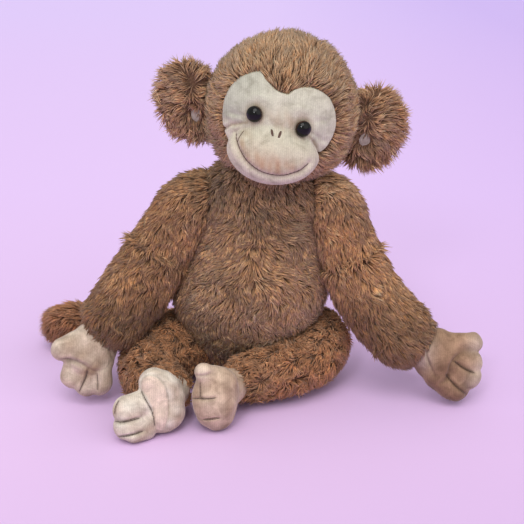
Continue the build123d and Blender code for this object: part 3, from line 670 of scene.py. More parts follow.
# ---------------------------------------------------------------- fur tones, linear light
TIP = linear((178, 142, 112))
TONES = {
    "torso": TIP * A(1.20, 1.22, 1.12), "head": TIP * A(1.18, 1.20, 1.15), "arm": TIP * A(1.30, 1.20, 1.00), "leg": TIP * A(1.13, 0.93, 0.80),
    "tail": TIP * A(1.08, 0.84, 0.72), "ear": TIP * A(1.36, 1.33, 1.27)}


def tone(kind, P, gain=1.0):
    t = np.tile(TONES[kind], (len(P), 1))
    w = waves(P, 55.0, 91)
    t = t * (1 + 0.10 * w[:, :1])
    t[:, 0] *= 1 + 0.03 * w[:, 1]; t[:, 2] *= 1 - 0.05 * w[:, 1]
    return t * np.broadcast_to(np.asarray(gain, float), (len(P),))[:, None]


SPACING = 1.36
WIDTH = 0.64


def finish_fur(ob, body=None):
    ob.data.materials.append(FUR)
    place(ob, body)
    return ob


def place(ob, body=None):
    if body:
        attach(ob, body)
    else:
        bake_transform(ob)


def backing(name, V, F, body=None):
    V = V.copy(); V[:, 2] = np.maximum(V[:, 2], FLOOR)
    ob = new_mesh(name, V, F)
    ob.data.materials.append(BACK)
    place(ob, body)
    return ob


def covered(P, others):
    """How long the pile may be under another part of the toy, so that it shows only when that part moves away."""
    most = np.full(len(P), 99.0)
    for o in others:
        most[o.inside(P, 1)] = np.minimum(most[o.inside(P, 1)], 9.0)
        most[o.inside(P, 1) & ~o.inside(P, 10)] = 4.0
    return most


# ---------------------------------------------------------------- torso
V, F = torso.mesh()
backing("torso_backing", V, F, body="torso")
P, N = roots_on(V, F, SPACING, 11)
keep = ~head.inside(P, 2)
P, N = P[keep], N[keep]
under = covered(P, (arm_r, arm_l, leg_r, leg_l, tail))
x, y, z = P.T
chest = smooth(120, 185, z)
front = smooth(10, -20, y)
seam_x = -4 + 0.03 * (z - 60)
part = smooth(14, 0, np.abs(x - seam_x)) * smooth(170, 120, z) * front
cx = (x - 4) / 60.0
fan = smooth(95, 135, z) * smooth(195, 170, z) * front
side_x = np.tanh((x - seam_x) / 16.0)
C = np.column_stack([cx * 0.40 + 0.80 * fan * side_x + 0.20 * part * side_x, -0.10 * front * chest, -1.0 + 0.22 * fan])
C += waves(P, 38.0, 21) * 0.50 + waves(P, 14.0, 22) * 0.34
L = np.minimum(12.4 - 1.5 * smooth(186, 206, z) - 1.2 * part ** 3 - 4 * smooth(16, 3, z), under)
# darker at the top of the chest front: painted shade under the chin. The fur is also a little darker along the centre
# seam.
g = 1.0 - 0.30 * smooth(155, 190, z) * front - 0.10 * smooth(3.0, 0.2, np.abs(x - seam_x)) * smooth(165, 130, z) * front
T = tone("torso", P, g)
T *= 1 + smooth(120, 75, z)[:, None] * front[:, None] * A(-0.02, 0.05, 0.12)
split = (("front", (y < 2) & (z < 128)), ("chest", (y < 2) & (z >= 128)), ("back", (y >= 2) & (z < 120)), ("shoulders", (y >= 2) & (z >= 120)))
for half, m in split:
    ob = locks("torso_fur_" + half, P[m], N[m], C[m], L[m], WIDTH, T[m], 31, lift=0.44)
    finish_fur(ob, body="torso")
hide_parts("torso_skin_front", "torso_stuffing", "seat_bean_bag")
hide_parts("torso_skin_back", "seat_panel")

# ---------------------------------------------------------------- neck
neck_tube = Tube([(10, 1, 190), (12, 0, 202), (14, 0, 214), (17, 0, 222)], [26, 27, 29, 29])
V, F, T = neck_tube.mesh()
backing("neck_backing", V, F)
P, N, T = roots_on(V, F, 1.7, 12, T)
keep = ~(head.inside(P, 2) | torso.inside(P, 2))
# the neck fur is darker overall: painted shade under the head
ob = locks("neck_fur", P[keep], N[keep], -T[keep], 12.0, WIDTH, tone("torso", P[keep], 0.72), 32)
finish_fur(ob)
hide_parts("neck_stuffing", "neck_stitching")

# ---------------------------------------------------------------- head
V, F = head.mesh(72, 48)
V = V - (V - head.c) * (0.10 * (in_poly(look(V), MASK_S) & (V[:, 1] < 0)))[:, None]
backing("head_backing", V, F, body="head")
P, N = roots_on(V, F, SPACING, 13)
Q = look(P)
inner = in_poly(Q, MASK_S)
edge, _ = seg_dist(Q, np.vstack([MASK_S, MASK_S[:1]]))
keep = ~(inner & ((edge > 0.035) | (Q[:, 1] < 0.55))) & ~(ear_r.inside(P, 1) | ear_l.inside(P, 1) | torso.inside(P, 1)) & ~neck_tube.inside(P, 2)
P, N, Q, edge = P[keep], N[keep], Q[keep], edge[keep]
x, y, z = P.T
f = unit(A(19, -62, 262) - head.c)
rad = unit(P - head.c)
C = unit(rad * 1.0 - f * ((rad @ f)[:, None]) * 1.0)
C = unit(rad - f * 1.15)
back = smooth(-5, 40, y)
C = C * (1 - 0.6 * back[:, None]) + A(0, 0, -1) * (0.75 * back)[:, None]
up = smooth(285, 325, z)
C += A(0.0, 0.25, 0.12) * up[:, None]
C += waves(P, 34.0, 23) * 0.46 + waves(P, 13.0, 24) * 0.34
near = smooth(0.35, 0.0, edge) * (y < 0)
bump = smooth(0.80, 0.97, rad @ unit(A(0.30, -0.15, 0.95)))
low_left = smooth(262, 238, z) * smooth(5, -18, x)
low_right = smooth(250, 232, z) * smooth(40, 60, x)
L = 12.6 + 2.0 * up + 3.5 * bump - 1.5 * near + 6.5 * low_left + 3.5 * low_right
# lighter on the crown, partly painted light from above; darker low on the head, painted shade under it; darker at the
# edge of the face, painted shade where the fur meets the velour
g = 1.0 + 0.08 * up - 0.18 * smooth(245, 215, z) - 0.10 * smooth(0.10, 0.0, edge)
T = tone("head", P, g)
lift = 0.40 + (0.14 * (up + bump * 0.6 - 0.6 * near).clip(0, 1) + 0.22 * low_left + 0.1 * low_right)[:, None]
split = (("front", (y < 0) & (x < 24)), ("front_left", (y < 0) & (x >= 24)), ("back", (y >= 0) & (x < 24)), ("back_left", (y >= 0) & (x >= 24)))
for half, m in split:
    ob = locks("head_fur_" + half, P[m], N[m], C[m], L[m], WIDTH * (1 - 0.15 * near[m]), T[m], 33, lift=lift[m], mess=0.30, droop=0.05)
    finish_fur(ob, body="head")
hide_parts("head_skin_front", "head_stuffing")
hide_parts("head_skin_back")

# ---------------------------------------------------------------- ears
PATCH = {"right": (3.5, 12.5, 5.2, 7.6), "left": (3.0, 10.5, 7.0, 7.0)}   # inner-ear lining: inward, down, half sizes
for side, ear, away in (("right", ear_r, -1), ("left", ear_l, 1)):
    V, F = ear.mesh(40, 26)
    loc = (V - ear.c) @ ear.M.T
    # the front is cupped: hollow round the lining
    q = np.hypot((loc[:, 0] + away * PATCH[side][0]) / 9.0, (loc[:, 2] + PATCH[side][1]) / 11.0)
    cup = np.exp(-q ** 2) * (loc[:, 1] < 0)
    V = V + (ear.M[1] * (5.5 * cup)[:, None])
    backing("ear_backing_" + side, V, F, body="ear_" + side)
    P, N = roots_on(V, F, 1.42, 14)
    loc = (P - ear.c) @ ear.M.T
    pi, pd, pw, ph = PATCH[side]
    q = np.hypot((loc[:, 0] + away * pi) / (pw * 0.8), (loc[:, 2] + pd) / (ph * 0.8))
    keep = ~((q < 1.0) & (loc[:, 1] < 0)) & ~head.inside(P, 1)
    P, N, loc, q = P[keep], N[keep], loc[keep], q[keep]
    C = ear.M[0] * (np.tanh((loc[:, :1] + away * (pi + 3)) / 10)) + ear.M[2] * (0.75 * np.tanh((loc[:, 2:3] + 2.0) / 14)) + A(0, 0, -0.34)
    C += waves(P, 24.0, 25 + away) * 0.50 + waves(P, 11.0, 28 + away) * 0.30
    rim = smooth(0.6, 1.0, np.hypot(loc[:, 0] / ear.r[0], loc[:, 2] / ear.r[2]))
    L = 12.0 + 2.5 * rim
    hollow = smooth(2.6, 0.9, q) * (loc[:, 1] < 0)
    # lighter at the rim and darker in the hollow round the lining: painted shade in the cupped front of the ear
    T = tone("ear", P, 1.0 + 0.16 * (rim - 0.5) - 0.22 * hollow)
    L = L - 3.0 * hollow
    ob = locks("ear_fur_mass_" + side, P, N, C, L, WIDTH * 0.92, T, 34 + away, lift=0.40, mess=0.34, curl=0.35, droop=0.10, clump=0.75, clump_size=6.0)
    finish_fur(ob, body="ear_" + side)
    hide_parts("ear_fur_" + side)

# ---------------------------------------------------------------- limbs and tail
def limb(name, tube, cuts, kind, spacing=SPACING, length=15.0, skip=(), mess=0.32, curly=0.42, seed=40, gain=None, comb=None, width=WIDTH, lift=0.44, root=1.0):
    """One furry limb in stretches, each spanning one joint. cuts are the points between the stretches."""
    idx = [0] + [tube.near(c) for c in cuts] + [len(tube.P) - 1]
    for i, (a, b) in enumerate(zip(idx[:-1], idx[1:])):
        lap = 2
        V, F, T = tube.mesh(max(a - lap, 0), min(b + lap, len(tube.P) - 1))
        backing("%s_backing_%d" % (name, i + 1), V, F)
        V, F, T = tube.mesh(a, b, cap=(i == len(idx) - 2))
        P, N, T = roots_on(V, F, spacing, seed + i, T)
        at = (P - tube.P[a]) @ tube.T[a] > 0
        if i > 0:
            P, N, T = P[at], N[at], T[at]
        keep = np.ones(len(P), bool)
        for s in skip:
            if s is not torso:
                keep &= ~s.inside(P, 1.0)
        keep &= P[:, 2] > 1.0
        P, N, T = P[keep], N[keep], T[keep]
        C = T * 1.0 + A(0, 0, -0.25) + waves(P, 26.0, seed + 7) * curly + waves(P, 11.0, seed + 8) * curly * 0.6
        if comb is not None:
            C = comb(P, N, T, C)
        L = length(P) if callable(length) else np.full(len(P), float(length))
        L = np.minimum(L, covered(P, (torso,)))
        g = gain(P) if gain is not None else 1.0
        ob = locks("%s_fur_%d" % (name, i + 1), P, N, C, L, width, tone(kind, P, g), seed + 20 + i, lift=lift, mess=mess, root=root)
        finish_fur(ob)


def along(p, q, a, b):
    """Two points on the line p to q, at a and b millimetres past p."""
    p, q = A(*p), A(*q)
    d = unit(q - p)
    return tuple(p + d * a), tuple(p + d * b)


# darker near the floor: painted shade where the toy meets it (low, arm_low). arm_low also makes the forearms darker.
low = lambda P: 1.0 - 0.22 * smooth(26, 4, P[:, 2])
arm_low = lambda P: (1.0 - 0.20 * smooth(26, 4, P[:, 2])) * (1.0 - 0.40 * smooth(126, 80, P[:, 2]))
SH = {"r": (-60, 0, 178), "l": (76, 0, 180)}
EL = {"r": (-118, -20, 106), "l": (118, -14, 96)}
WR = {"r": (-150, -36, 54), "l": (163, -31, 50)}
for s, side, tube in (("r", "right", arm_r), ("l", "left", arm_l)):
    sh, el, wr = A(*SH[s]), A(*EL[s]), A(*WR[s])
    # painted shade and light: the right arm's fur is darker and the left arm's lighter
    limb("arm_" + side, tube, [sh + (el - sh) * 0.52, el + (wr - el) * 0.5],
         "arm", skip=(torso, head), seed=50 if s == "r" else 70, gain=(lambda P: 0.84 * arm_low(P)) if s == "r" else (lambda P: 1.04 * arm_low(P)),
         length=lambda P, wr=wr: 12.8 - 3.6 * smooth(40, 14, np.linalg.norm(P - wr, axis=1)))
    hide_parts("upper_arm_skin_" + side, "upper_arm_stuffing_" + side)
    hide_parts("forearm_skin_" + side, "forearm_stuffing_" + side)

HIP = {"r": (-58, 26, 37), "l": (48, 26, 37)}
KN = {"r": (-99, -31, 31), "l": (68, -14, 33)}
AN = {"r": (-79, -84, 26), "l": (-8, -57, 26)}


def curl_comb(P, N, T, C):
    return T * 0.45 + A(0, 0, -0.25) + waves(P, 17.0, 201) * 0.9 + waves(P, 9.0, 202) * 0.4


for s, side, tube in (("r", "right", leg_r), ("l", "left", leg_l)):
    hp, kn, an = A(*HIP[s]), A(*KN[s]), A(*AN[s])
    # the right leg's fur is darker: painted shade between the belly and the legs
    limb("leg_" + side, tube, [hp + (kn - hp) * 0.60, kn + (an - kn) * 0.5],
         "leg", skip=(torso,), seed=90 if s == "r" else 110, gain=(lambda P: 0.86 * low(P)) if s == "r" else low, comb=curl_comb, mess=0.42, length=11.5, lift=0.50, root=1.7)
    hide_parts("thigh_skin_" + side, "thigh_stuffing_" + side)
    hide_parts("shin_skin_" + side, "shin_stuffing_" + side)

limb("tail", tail, [(-55, 88, 20)],
     "tail", skip=(torso,), seed=130, length=lambda P: 12.5 + 4.0 * smooth(-170, -200, P[:, 0]), gain=low, mess=0.34, lift=0.56, root=1.4)
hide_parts("tail_base_skin", "tail_base_stuffing")
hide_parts("tail_tip_skin", "tail_tip_stuffing")

# ---------------------------------------------------------------- velour face
n_r, n_t = 96, 420
edge_line = curve2(MASK, n_t, closed=True)
c0 = A(0.0, 0.12)
ring = np.concatenate([np.linspace(0.006, 1.0, n_r), [1.035]])
Q = (c0 + (edge_line[None] - c0) * ring[:, None, None]).reshape(-1, 2)
V = face_surface(Q)
rows = len(ring)
V = V.reshape(rows, n_t, 3)
V[-1] += A(0, 5.0, 0)                       # the edge tucks under the fur
V[-2] += A(0, 0.8, 0)
# behind its edge the cloth runs back into the head, so that nothing is open under the chin
rim = V[-1].copy()
out_dir = unit(rim - head.c)
reach = 0.93 / np.linalg.norm((out_dir @ head.M.T) / head.r, axis=1)
root = head.c + out_dir * np.minimum(np.linalg.norm(rim - head.c, axis=1), reach)[:, None]
q_rim = Q.reshape(rows, n_t, 2)[-1]
for t in (0.3, 0.65, 1.0):
    V = np.concatenate([V, (rim * (1 - t) + root * t)[None]])
    Q = np.vstack([Q, c0 + (q_rim - c0) * (1 + 0.04 * t)])
rows += 3
V = V.reshape(-1, 3)
F = []
for i in range(rows - 1):
    j = np.arange(n_t); k = (j + 1) % n_t
    F.append(np.column_stack([i * n_t + j, i * n_t + k, (i + 1) * n_t + k, (i + 1) * n_t + j]))
F = np.vstack(F)
V = np.vstack([V, face_surface(c0[None])])
hub = len(V) - 1
Qall = np.vstack([Q, c0[None]])
tri_hub = np.column_stack([np.full(n_t, hub), (np.arange(n_t) + 1) % n_t, np.arange(n_t)])


def face_colour(Q, V):
    cream = linear((205, 203, 184)); shade_grey = linear((180, 181, 166)); pink = linear((203, 188, 166)); tan = linear((178, 152, 122)); dark = linear((104, 72, 52))
    col = np.tile(cream, (len(Q), 1))

    def toward(c, w):
        nonlocal col
        w = np.clip(w, 0, 1)[:, None]
        col = col * (1 - w) + c * w
    # greyer and darker towards the face's right side (-x): painted shade
    toward(shade_grey, 0.75 * smooth(0.1, -1.1, Q[:, 0]) * smooth(-0.3, 0.2, Q[:, 1]))
    mz_ = smooth(0.10, -0.12, Q[:, 1]) * smooth(1.15, 0.7, np.abs(Q[:, 0]))
    toward(pink, 0.40 * mz_)
    # brushed tan bloom over the mouth; tan beside the tick and on the nose bridge
    w = waves(V, 9.0, 302)[:, 0]
    toward(linear((176, 140, 112)), (0.72 + 0.25 * w) * np.exp(-((Q[:, 0] + 0.02) / 0.44) ** 2 - ((Q[:, 1] + 0.33) / 0.13) ** 2))
    toward(tan, (0.30 + 0.25 * w) * np.exp(-((Q[:, 0] + 0.45) / 0.12) ** 2 - ((Q[:, 1] + 0.18) / 0.16) ** 2))
    toward(tan, (0.42 + 0.2 * w) * np.exp(-((Q[:, 0] - 0.02) / 0.22) ** 2 - ((Q[:, 1] - 0.22) / 0.18) ** 2))
    # tan rings round the eyes: painted shade in the sockets
    for e in EYES2:
        d = np.linalg.norm(Q - e, axis=1)
        toward(tan, (0.50 + 0.15 * w) * np.exp(-((d - 0.12) / 0.09) ** 2))
    d, s = seg_dist(Q, SMILE_S)
    below = d * np.sign((Q[:, 1] < np.interp(Q[:, 0], SMILE_S[:, 0], SMILE_S[:, 1])) - 0.5)
    lip = smooth(-0.01, 0.03, np.where((Q[:, 0] < -0.6) & (Q[:, 1] < 0.0), np.maximum(below, -0.6 - Q[:, 0]), below)) * smooth(0.04, -0.04, Q[:, 1])
    toward(linear((214, 206, 188)), 0.50 * lip)
    # shadowed stitch lines
    toward(dark, 0.40 * np.exp(-(d / 0.016) ** 2) * smooth(1.0, 0.85, s))
    dt, st = seg_dist(Q, TICK)
    toward(dark, 0.45 * np.exp(-(dt / 0.013) ** 2))
    for seam in (SEAM_L, SEAM_R):
        ds, ss = seg_dist(Q, seam)
        toward(tan * 0.7, 0.5 * np.exp(-(ds / 0.03) ** 2))
    w = waves(V, 16.0, 301); w2 = waves(V, 3.4, 303)
    return col * (1 + 0.05 * w[:, :1] + 0.035 * w2[:, :1])


cols = face_colour(Qall, V)
lipline = np.interp(Qall[:, 0], SMILE_S[:, 0], SMILE_S[:, 1])
chin_v = (Qall[:, 1] < lipline) & (Qall[:, 0] > SMILE[0, 0]) & (Qall[:, 0] < SMILE[-1, 0]) | ((Qall[:, 0] <= SMILE[0, 0]) & (Qall[:, 1] < -0.20)) | ((Qall[:, 0] >= SMILE[-1, 0]) & (Qall[:, 1] < -0.262))
chin_f = chin_v[F].all(axis=1)


def face_piece(name, faces, with_hub):
    T = np.vstack([faces[:, [0, 1, 2]], faces[:, [0, 2, 3]]] + ([tri_hub] if with_hub else []))
    T = T[:, ::-1]
    used, inv = np.unique(T, return_inverse=True)
    ob = new_mesh(name, V[used], inv.reshape(-1, 3), cols[used])
    uv = ob.data.uv_layers.new(name="OFBake")
    q = Qall[used]; q = (q - q.min(axis=0)) / (q.max(axis=0) - q.min(axis=0)) * 0.96 + 0.02
    uv.data.foreach_set("uv", q[inv.reshape(-1)].astype(np.float32).ravel())
    ob.data.materials.append(FACE)
    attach(ob, "head")
    return ob


ob = face_piece("face_cover", F[~chin_f], True)
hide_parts("face_panel", "muzzle_panel", "muzzle_stuffing")
ob = face_piece("chin_cover", F[chin_f], False)
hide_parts("chin_panel")


def thread(name, line, radius, mat, body, stitch=3.0, lift=0.35, nodes=()):
    """Sewn thread: short tapered stitches laid end to end along a line in millimetres."""
    line = np.asarray(line, float)
    L = np.concatenate([[0], np.cumsum(np.linalg.norm(np.diff(line, axis=0), axis=1))])
    total = L[-1]; n = max(1, int(round(total / stitch)))
    Vs, Fs = [], []; off = 0
    for i in range(n):
        a, b = total * i / n + 0.02, total * (i + 1) / n - 0.02
        t = np.linspace(a, b, 7)
        p = np.column_stack([np.interp(t, L, line[:, k]) for k in range(3)])
        r = radius * np.sin(np.linspace(0.30, math.pi - 0.30, 7)) ** 0.45
        d = unit(np.gradient(p, axis=0))
        s = unit(np.cross(d, A(0, 1, 0.1))); q = np.cross(d, s)
        th = np.arange(8) * math.pi / 4
        ring = p[:, None] + r[:, None, None] * (np.cos(th)[None, :, None] * s[:, None] + np.sin(th)[None, :, None] * q[:, None])
        Vs.append(ring.reshape(-1, 3)); Vs.append(p[:1]); Vs.append(p[-1:])
        for k in range(6):
            for j in range(8):
                x0, x1 = off + k * 8 + j, off + k * 8 + (j + 1) % 8
                Fs += [(x0, x1, x1 + 8), (x0, x1 + 8, x0 + 8)]
        for j in range(8):
            Fs.append((off + 56, off + (j + 1) % 8, off + j)); Fs.append((off + 57, off + 48 + j, off + 48 + (j + 1) % 8))
        off += 58
    ob = new_mesh(name, np.vstack(Vs), np.array(Fs))
    ob.data.materials.append(mat)
    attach(ob, body)
    if nodes:
        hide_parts(*nodes)
    return ob


DARK_THREAD = thread_material("dark_thread", (0.030, 0.016, 0.010), (0.075, 0.042, 0.028))
BROWN_THREAD = thread_material("brown_thread", (0.060, 0.026, 0.016), (0.16, 0.080, 0.050))
SEAM_THREAD = thread_material("seam_thread_tan", (0.13, 0.085, 0.06), (0.26, 0.18, 0.13))
thread("smile_thread", face_surface(curve2(SMILE, 90), 0.10), 0.40, BROWN_THREAD, "head", 3.2, nodes=("mouth_stitches",))
thread("smile_tick_thread", face_surface(curve2(TICK, 20), 0.1), 0.38, BROWN_THREAD, "head", 3.0)
for i, (a, b) in enumerate(NOSTRILS):
    for k in (-1, 0, 1):
        o = A(k * 0.0085, 0)
        line = face_surface(np.array([A(*a) + o * 0.7, (A(*a) + A(*b)) / 2 + o, A(*b) + o * 0.7]), 0.25)
        t = thread("nostril_thread_%d_%d" % (i + 1, k + 2), line, 0.62, BROWN_THREAD, "head", 9.0)
        if i == 0 and k == 0:
            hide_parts("nostril_stitches")


# ---------------------------------------------------------------- hands and feet
def cone_dist(X, a, b, ra, rb):
    a, b = A(*a), A(*b)
    ab = b - a
    h = np.clip(((X - a) @ ab) / max(ab @ ab, 1e-6), 0, 1)
    return np.linalg.norm(X - (a + h[:, None] * ab), axis=1) - (ra + h * (rb - ra))


def soft_union(X, parts, k):
    d = None
    for p in parts:
        e = cone_dist(X, *p[:4])
        kk = p[4] if len(p) > 4 else k
        if d is None:
            d = e
        else:
            h = np.clip(0.5 + 0.5 * (d - e) / kk, 0, 1)
            d = d * (1 - h) + e * h - kk * h * (1 - h)
    return d


SIGHT = A(8.0, -915.7, 457.8)   # the side that the sewn lines are drawn from


def plump(name, parts, k, grooves, colour, mat, body, nodes, voxel=1.25, flats=()):
    """A stuffed velour form: balls and fingers sewn into one skin, with pulled-in seams."""
    bm = bmesh.new()
    for p in parts:
        a, b, ra, rb = A(*p[0]), A(*p[1]), p[2], p[3]
        n = max(2, int(np.linalg.norm(b - a) / 3.0) + 1)
        for t in np.linspace(0, 1, n):
            c = a + (b - a) * t; r = ra + (rb - ra) * t
            got = bmesh.ops.create_icosphere(bm, subdivisions=3, radius=r * MM)
            for v in got["verts"]:
                v.co += Vector(point(c))
    me = bpy.data.meshes.new(name); bm.to_mesh(me); bm.free()
    ob = bpy.data.objects.new(name, me); bpy.context.scene.collection.objects.link(ob)
    m = ob.modifiers.new("skin", "REMESH"); m.mode = "VOXEL"; m.voxel_size = voxel * MM
    dg = bpy.context.evaluated_depsgraph_get()
    done = bpy.data.meshes.new_from_object(ob.evaluated_get(dg))
    bpy.data.objects.remove(ob)
    V = np.array([v.co for v in done.vertices]) / MM - SHIFT
    done.calc_loop_triangles()
    F = np.array([t.vertices[:] for t in done.loop_triangles])
    bpy.data.meshes.remove(done)
    E = np.vstack([F[:, [0, 1]], F[:, [1, 2]], F[:, [2, 0]]])
    cnt = np.bincount(E.ravel(), minlength=len(V)).astype(float)

    def relax(V, times):
        for _ in range(times):
            S = np.column_stack([np.bincount(E[:, 0], V[E[:, 1], c], len(V)) + np.bincount(E[:, 1], V[E[:, 0], c], len(V)) for c in range(3)])
            V = 0.5 * V + 0.5 * S / cnt[:, None]
        return V
    V = relax(V, 3)
    for _ in range(3):
        d = soft_union(V, parts, k)
        g = np.column_stack([(soft_union(V + np.eye(3)[i] * 0.3, parts, k) - d) / 0.3 for i in range(3)])
        V = V - unit(g) * np.clip(d, -3, 3)[:, None]
    V = relax(V, 2)
    N = normals_of(V, F)
    shade = np.zeros(len(V)); sink = np.zeros(len(V))
    tree = BVHTree.FromPolygons([tuple(v) for v in V], [tuple(f) for f in F])
    lines = []
    for line, depth, width, dark in grooves:
        pts = curve2(np.array(line, float), 26) if len(line) > 2 else np.linspace(A(*line[0]), A(*line[1]), 16)
        snapped = []
        for p in pts:
            ray = unit(p - SIGHT)
            loc, nor, idx, dist = tree.ray_cast(Vector(SIGHT), Vector(ray))
            if loc is not None:
                snapped.append(np.array(loc))
        snapped = np.array(snapped)
        for _ in range(3):
            snapped[1:-1] = 0.5 * snapped[1:-1] + 0.25 * (snapped[:-2] + snapped[2:])
        lines.append(snapped)
        best = np.full(len(V), 1e9)
        al = np.zeros(len(V))
        for i in range(len(snapped) - 1):
            a, b = snapped[i], snapped[i + 1]
            ab = b - a
            h = np.clip(((V - a) @ ab) / max(ab @ ab, 1e-6), 0, 1)
            dd = np.linalg.norm(V - (a + h[:, None] * ab), axis=1)
            mm = dd < best
            best[mm] = dd[mm]; al[mm] = ((i + h) / (len(snapped) - 1))[mm]
        ends = np.clip(np.sin(np.clip(al, 0.03, 0.97) * math.pi), 0, 1) ** 0.4
        sink += depth * np.exp(-(best / width) ** 2) * ends
        shade = np.maximum(shade, dark * np.exp(-(best / (width * 0.42)) ** 2) * ends)
    V = V - N * sink[:, None] + N * (0.35 * waves(V, 15.0, 401)[:, :1])
    for z0 in flats:
        low_part = V[:, 2] < z0
        V[low_part, 2] = z0 - (z0 - V[low_part, 2]) * 0.25
    V[:, 2] = np.maximum(V[:, 2], FLOOR)
    base = colour(V, N)
    # painted shade: darker along the sewn lines, and darker still where the seams sink in
    seam_shade_c = linear((84, 56, 42))
    w = np.clip(shade, 0, 1)[:, None]
    base = base * (1 - w) + seam_shade_c * w
    w2 = np.clip(sink / 2.4, 0, 1)[:, None] * 0.30
    base = base * (1 - w2)
    ob = new_mesh(name, V, F, base)
    ob.data.materials.append(mat)
    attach(ob, body)
    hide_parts(*nodes)
    tree = BVHTree.FromPolygons([tuple(v) for v in V], [tuple(f) for f in F])
    for i, (line, g) in enumerate(zip(lines, grooves)):
        if g[3] < 0.4:
            continue
        on = []
        for p in line[1:-1]:
            loc, nor, idx, dist = tree.ray_cast(Vector(SIGHT), Vector(unit(p - SIGHT)))
            if loc is not None:
                on.append(np.array(loc))
        thread(name + "_seam_%d" % (i + 1), np.array(on), 0.30, DARK_THREAD, body, 2.6)
    return ob


def blended(c_dark, c_light, seed, underside_shade=0.25, z0=30.0, highlight_spots=()):
    def f(V, N):
        # lighter on faces that turn up: painted light from above
        w = waves(V, 20.0, seed)[:, 0] * 0.30 + 0.5 + 0.25 * N[:, 2]
        w = np.clip(w, 0, 1)[:, None]
        c = linear(c_dark) * (1 - w) + linear(c_light) * w
        # darker low down on faces that turn to the floor: painted shade underneath
        s = (underside_shade * smooth(z0, 0, V[:, 2]) * smooth(0.2, -0.9, N[:, 2]))[:, None]
        for p, r, k in highlight_spots:                    # painted highlights: lighter on the finger ends, thumb and toes
            t = (k * np.exp(-(np.linalg.norm(V - A(*p), axis=1) / r) ** 2))[:, None]
            c = c * (1 - t) + linear((226, 210, 194)) * t
        return c * (1 - s)
    return f


hand_r_parts = [
    ((-150, -37, 57), (-155, -40, 46), 21.0, 22.0), ((-149, -37, 58), (-147, -40, 38), 15, 15),
    ((-167, -44, 38), (-169.5, -46, 28), 12.0, 13.0, 2.5), ((-155.5, -48, 31), (-157, -49, 21), 12.0, 12.5, 1.5), ((-145, -46, 33), (-145, -48, 21), 12.0, 12.0, 1.5),
    ((-165, -42, 58), (-178.0, -46, 54.5), 13.0, 11.0, 3.5), ((-148, -35, 57), (-141, -31, 70), 20, 18)]
plump("hand_cover_right", hand_r_parts, 4.5,
      [([(-151.5, -70, 44.5), (-153.5, -70, 38), (-157, -70, 31), (-161, -70, 22)], 3.0, 1.6, 0.85),
       ([(-143.8, -66, 39), (-143.3, -68, 31), (-143.8, -68, 23)], 1.9, 1.5, 0.50),
       ([(-183, -52, 45), (-173.6, -60, 50), (-162.8, -64, 50), (-151.9, -66, 44.5)], 3.0, 2.6, 0.24),
       ([(-151.9, -66, 44.5), (-147, -66, 42), (-141, -64, 41)], 1.2, 1.8, 0.12),
       ([(-150, -50, 75), (-141, -50, 66), (-134, -50, 56), (-131, -50, 46)], 1.4, 1.5, 0.25)],
      blended((158, 134, 112), (214, 198, 180), 411, highlight_spots=(((-186, -50, 56), 10, 0.45), ((-136, -42, 68), 10, 0.5), ((-170, -58, 22), 9, 0.25))), HANDS, "hand_right", ("hand_skin_right", "hand_stuffing_right"))

hand_l_parts = [
    ((172, -36, 50), (177, -40, 42), 20.5, 21.0), ((168, -34, 48), (169, -37, 36), 16, 16),
    ((188, -42, 45), (204, -46, 41), 11.5, 11.0, 2.0), ((186, -46, 35), (201, -49, 28.5), 13.0, 13.0, 1.5), ((176, -44, 30), (189, -49, 18.5), 17.0, 15.0, 2.0),
    ((188, -36, 55), (206, -38, 58), 11.0, 9.4, 3.5), ((163, -31, 48), (159, -29, 51), 19, 17)]
plump("hand_cover_left", hand_l_parts, 4.5,
      [([(184, -66, 52.5), (190, -66, 47.5), (197, -66, 43), (205, -62, 38)], 2.8, 1.5, 0.88),
       ([(177, -70, 40), (180, -70, 35.8), (189, -70, 26), (198.6, -66, 17.3)], 3.0, 1.6, 0.92),
       ([(193, -58, 57), (187, -62, 54), (181.6, -66, 46), (179.4, -70, 37), (173, -66, 29)], 2.8, 2.4, 0.24),
       ([(170, -44, 72), (166.6, -48, 66), (160.5, -50, 53.6), (164.7, -52, 40.2), (170, -54, 30)], 1.6, 1.5, 0.35)],
      blended((112, 84, 64), (164, 132, 108), 412, highlight_spots=(((209, -42, 58), 10, 0.55), ((211, -52, 40), 9, 0.5), ((207, -58, 26), 10, 0.5), ((158, -46, 58), 11, 0.55), ((160, -48, 44), 10, 0.4))), HANDS, "hand_left", ("hand_skin_left", "hand_stuffing_left"))

# the right foot shows its flat sole: a plain pad inside a rolled rim
PAD = np.array([(-98.0, 49.5), (-97.0, 57.0), (-91.5, 61.0), (-85.0, 59.6), (-78.5, 53.5), (-75.2, 45.0), (-74.0, 32.0), (-74.4, 20.3), (-77.9, 10.5), (-82.5, 8.5),
                (-86.3, 12.7), (-87.0, 21.0), (-88.6, 30.5), (-92.5, 40.0), (-96.5, 45.0)])
PAD_S = curve2(PAD, 80, closed=True)


def pad_place(V):
    return np.column_stack([V[:, 0], V[:, 2] + 0.364 * (V[:, 1] + 116.0)])


def foot_r_colour(V, N):
    base = blended((176, 156, 136), (226, 217, 204), 413, 0.2)(V, N)
    Q = pad_place(V)
    d, s = seg_dist(Q, np.vstack([PAD_S, PAD_S[:1]]))
    face = smooth(-0.15, -0.55, N[:, 1])
    w = (smooth(0.0, 1.0, np.where(in_poly(Q, PAD_S), d, -d)) * face)[:, None]
    base = base * (1 - w) + linear((216, 196, 180)) * (1 + 0.05 * waves(V, 9.0, 440)[:, :1]) * w
    rim = (np.exp(-((np.where(in_poly(Q, PAD_S), -d, d) - 1.8) / 1.3) ** 2) * face * smooth(20, 40, Q[:, 1]) * smooth(-84, -92, Q[:, 0]))[:, None]
    return base * (1 - 0.7 * rim) + linear((228, 220, 208)) * (0.7 * rim)


